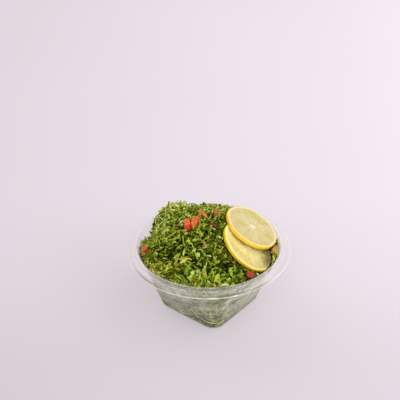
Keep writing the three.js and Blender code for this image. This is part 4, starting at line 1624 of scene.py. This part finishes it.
def make_pressed_greens():
    look = {"translucent": 0.1, "roughness": 0.5, "specular": 0.1}
    wet = greens_material("pressed_parsley", [(44, 58, 0), (92, 112, 12), (144, 158, 58)], **look)
    pale = greens_material(
        "pressed_parsley_pale", [(146, 154, 70), (184, 186, 118), (218, 212, 168)], **look)
    make_pressed("pressed_shreds", PRESSED, 1300, 260, wet, 31)
    make_pressed("pressed_shreds_pale", PRESSED, 420, 90, pale, 32)
    make_pressed("pressed_leaves", PRESSED_LEAF, 300, 70, wet, 33)


# Bits that can be told apart on the heap: x and y of each.
SCALLION_SPOTS = [
    (-14.2, -37.4), (-10.6, -42.2), (-19.7, -26), (-17.4, -28.7), (-13.6, -25.5), (-8.4, -35.5),
    (-31.1, -40.6), (20.5, -52),
]
GRAIN_SPOTS = [
    (-4.6, -31), (-0.9, -33.8), (-3.3, -36.8), (1.8, -34.6), (5.1, -40.7), (10.4, -35.6),
    (-29.2, -37.6), (-2.4, -33), (-5.6, -34.4),
]
ONION_SPOTS = [(-3.5, -37.2), (45.4, -49.6), (-26.7, 1.6), (-25.2, -3.2)]
TOMATO_SPOTS = [(22.7, -47.1), (-17.6, -4.6), (-21.9, 4.6), (-17.6, 3.4), (-30, -50), (-12, 5)]
PURPLE_SPOTS = [(12.6, -17.4), (7.4, -9.6)]
BROWN_SPOTS = [(63.6, -7.6), (65, -10.4), (62.4, -4), (60.6, -24), (63.4, -19)]

BIT_COLOURS = {  # three colours of each kind, and its roughness where it isn't the usual one
    "bulgur": ([(172, 146, 60), (200, 178, 92), (220, 204, 134)],),
    "scallion": ([(150, 176, 44), (178, 200, 70), (204, 216, 110)],),
    "onion_white": ([(214, 190, 170), (230, 214, 196), (244, 236, 222)], 0.25),
    "tomato_bit": ([(176, 76, 28), (206, 104, 44), (202, 142, 72)],),
    "onion_bit_purple": ([(92, 34, 26), (120, 60, 36), (146, 96, 60)],),
    "onion_bit_brown": ([(140, 88, 30), (172, 126, 52), (196, 160, 88)],),
}
GRAIN_SIZE = ((1.4, 2.6), (1.0, 1.8), (0.9, 1.4))
RING_SIZE = ((4, 5.4), (3.4, 4.6), (1.2, 2))
SCALLION_SIZE = ((1.8, 3.4), (1.6, 2.8), (0.8, 1.6))
ONION_SIZE = ((2.2, 4.2), (1.2, 2.4), (0.8, 1.6))
TOMATO_SIZE = ((2.8, 4.6), (2.4, 3.8), (1.6, 2.8))
DARK_SIZE = ((3.4, 5.2), (2.8, 4), (1.8, 2.8))
# Each piece of bits: how many are scattered, its material, the spots picked, how many lie against
# the wall, size, squareness, range of the level, seed and slot.
BITS = {
    "bulgur_grains": (
        36, "bulgur", GRAIN_SPOTS, 320, GRAIN_SIZE, 2.4, (-1.2, 0.4), 41, "greens"),
    "scallion_rings": (0, "scallion", SCALLION_SPOTS, 0, RING_SIZE, 3, (-0.4, 0.4), 45, "greens"),
    "scallion_bits": (60, "scallion", [], 60, SCALLION_SIZE, 4, (-0.8, 0.5), 42, "greens"),
    "onion_bits": (0, "onion_white", ONION_SPOTS, 24, ONION_SIZE, 4, (-0.6, 0), 43, "onion"),
    "tomato_bits": (0, "tomato_bit", TOMATO_SPOTS, 14, TOMATO_SIZE, 4, (-0.6, 0.4), 44, "tomato"),
    "onion_bits_purple": (
        0, "onion_bit_purple", PURPLE_SPOTS, 0, DARK_SIZE, 4, (-0.6, 0.4), 46, "onion"),
    "onion_bits_brown": (
        0, "onion_bit_brown", BROWN_SPOTS, 0, DARK_SIZE, 4, (-0.4, 0.8), 47, "onion"),
}


def make_scatter():
    rng = np.random.default_rng(40)
    materials = {name: bit_material(name, *look) for name, look in BIT_COLOURS.items()}
    for name, (count, material, *rest) in BITS.items():
        spots = heap_spots(rng, count) if count else []
        make_bits(name, materials[material], spots, *rest)


# Colours of the dice, as skin and flesh, and their roughness and coat where they aren't the usual.
DICE_COLOURS = {
    "tomato_ripe": (
        [(200, 42, 14), (218, 78, 28)], [(194, 68, 18), (208, 100, 34), (222, 150, 78)]),
    "tomato_orange": (
        [(196, 84, 20), (210, 118, 40)], [(196, 100, 28), (208, 134, 48), (214, 160, 76)]),
    "tomato_browned": (
        [(206, 64, 14), (214, 84, 24)], [(148, 76, 8), (172, 98, 20), (188, 126, 42)]),
    # Painted shade: the front die is darker where the lemon shades it.
    "tomato_deep": (
        [(120, 22, 0), (136, 38, 0)], [(128, 36, 0), (142, 54, 2), (160, 88, 20)], 0.5, 0.0),
    "tomato_dull": (
        [(150, 84, 20), (182, 114, 34)], [(160, 94, 26), (184, 130, 46), (200, 160, 80)]),
    "onion_purple": (
        [(78, 20, 10), (106, 42, 22)], [(98, 42, 14), (118, 66, 26), (142, 104, 46)]),
    "onion_brown": (
        [(146, 92, 44), (172, 122, 60)], [(158, 98, 48), (180, 134, 66), (202, 166, 96)]),
}
DICE_LOOKS = {  # material, way that the skin faces, dent of the top, size against the CAD die
    "tomato_crown_left": ("tomato_ripe", (0, -1, 0), 0.3, 1.08),
    "tomato_crown_right": ("tomato_ripe", (1, 0, 0), 0.9, 1.08),
    "tomato_strip": ("tomato_orange", (0, 0, 1), 0.0, 0.98),
    "tomato_left_rim": ("tomato_browned", (0, -1, 0), 0.4, 0.98),
    "tomato_front_rim": ("tomato_deep", (0, -1, 0), 0.3, 0.98),
    "tomato_back": ("tomato_dull", (0, 0, 1), 0.3, 1.05),
    "onion_crown": ("onion_purple", (0, 0, 1), 0.1, 1.05),
    "onion_right_rim": ("onion_brown", (1, 0, 0), 0.2, 1.25),
}
FIRST_LEMON_SEED = 51
FIRST_DIE_SEED = 61


def make_toppings():
    lemon = lemon_material()
    for index, name in enumerate(LEMON_SLICES):
        make_lemon(name, FIRST_LEMON_SEED + index, lemon)
    materials = {name: flesh_material(name, *look) for name, look in DICE_COLOURS.items()}
    for index, (name, (material, *shape)) in enumerate(DICE_LOOKS.items()):
        slot = "onion" if name.startswith("onion") else "tomato"
        make_die(name, FIRST_DIE_SEED + index, materials[material], slot, *shape)


make_stage()
make_bowl()
make_core()
make_greens()
make_pressed_greens()
make_scatter()
make_toppings()
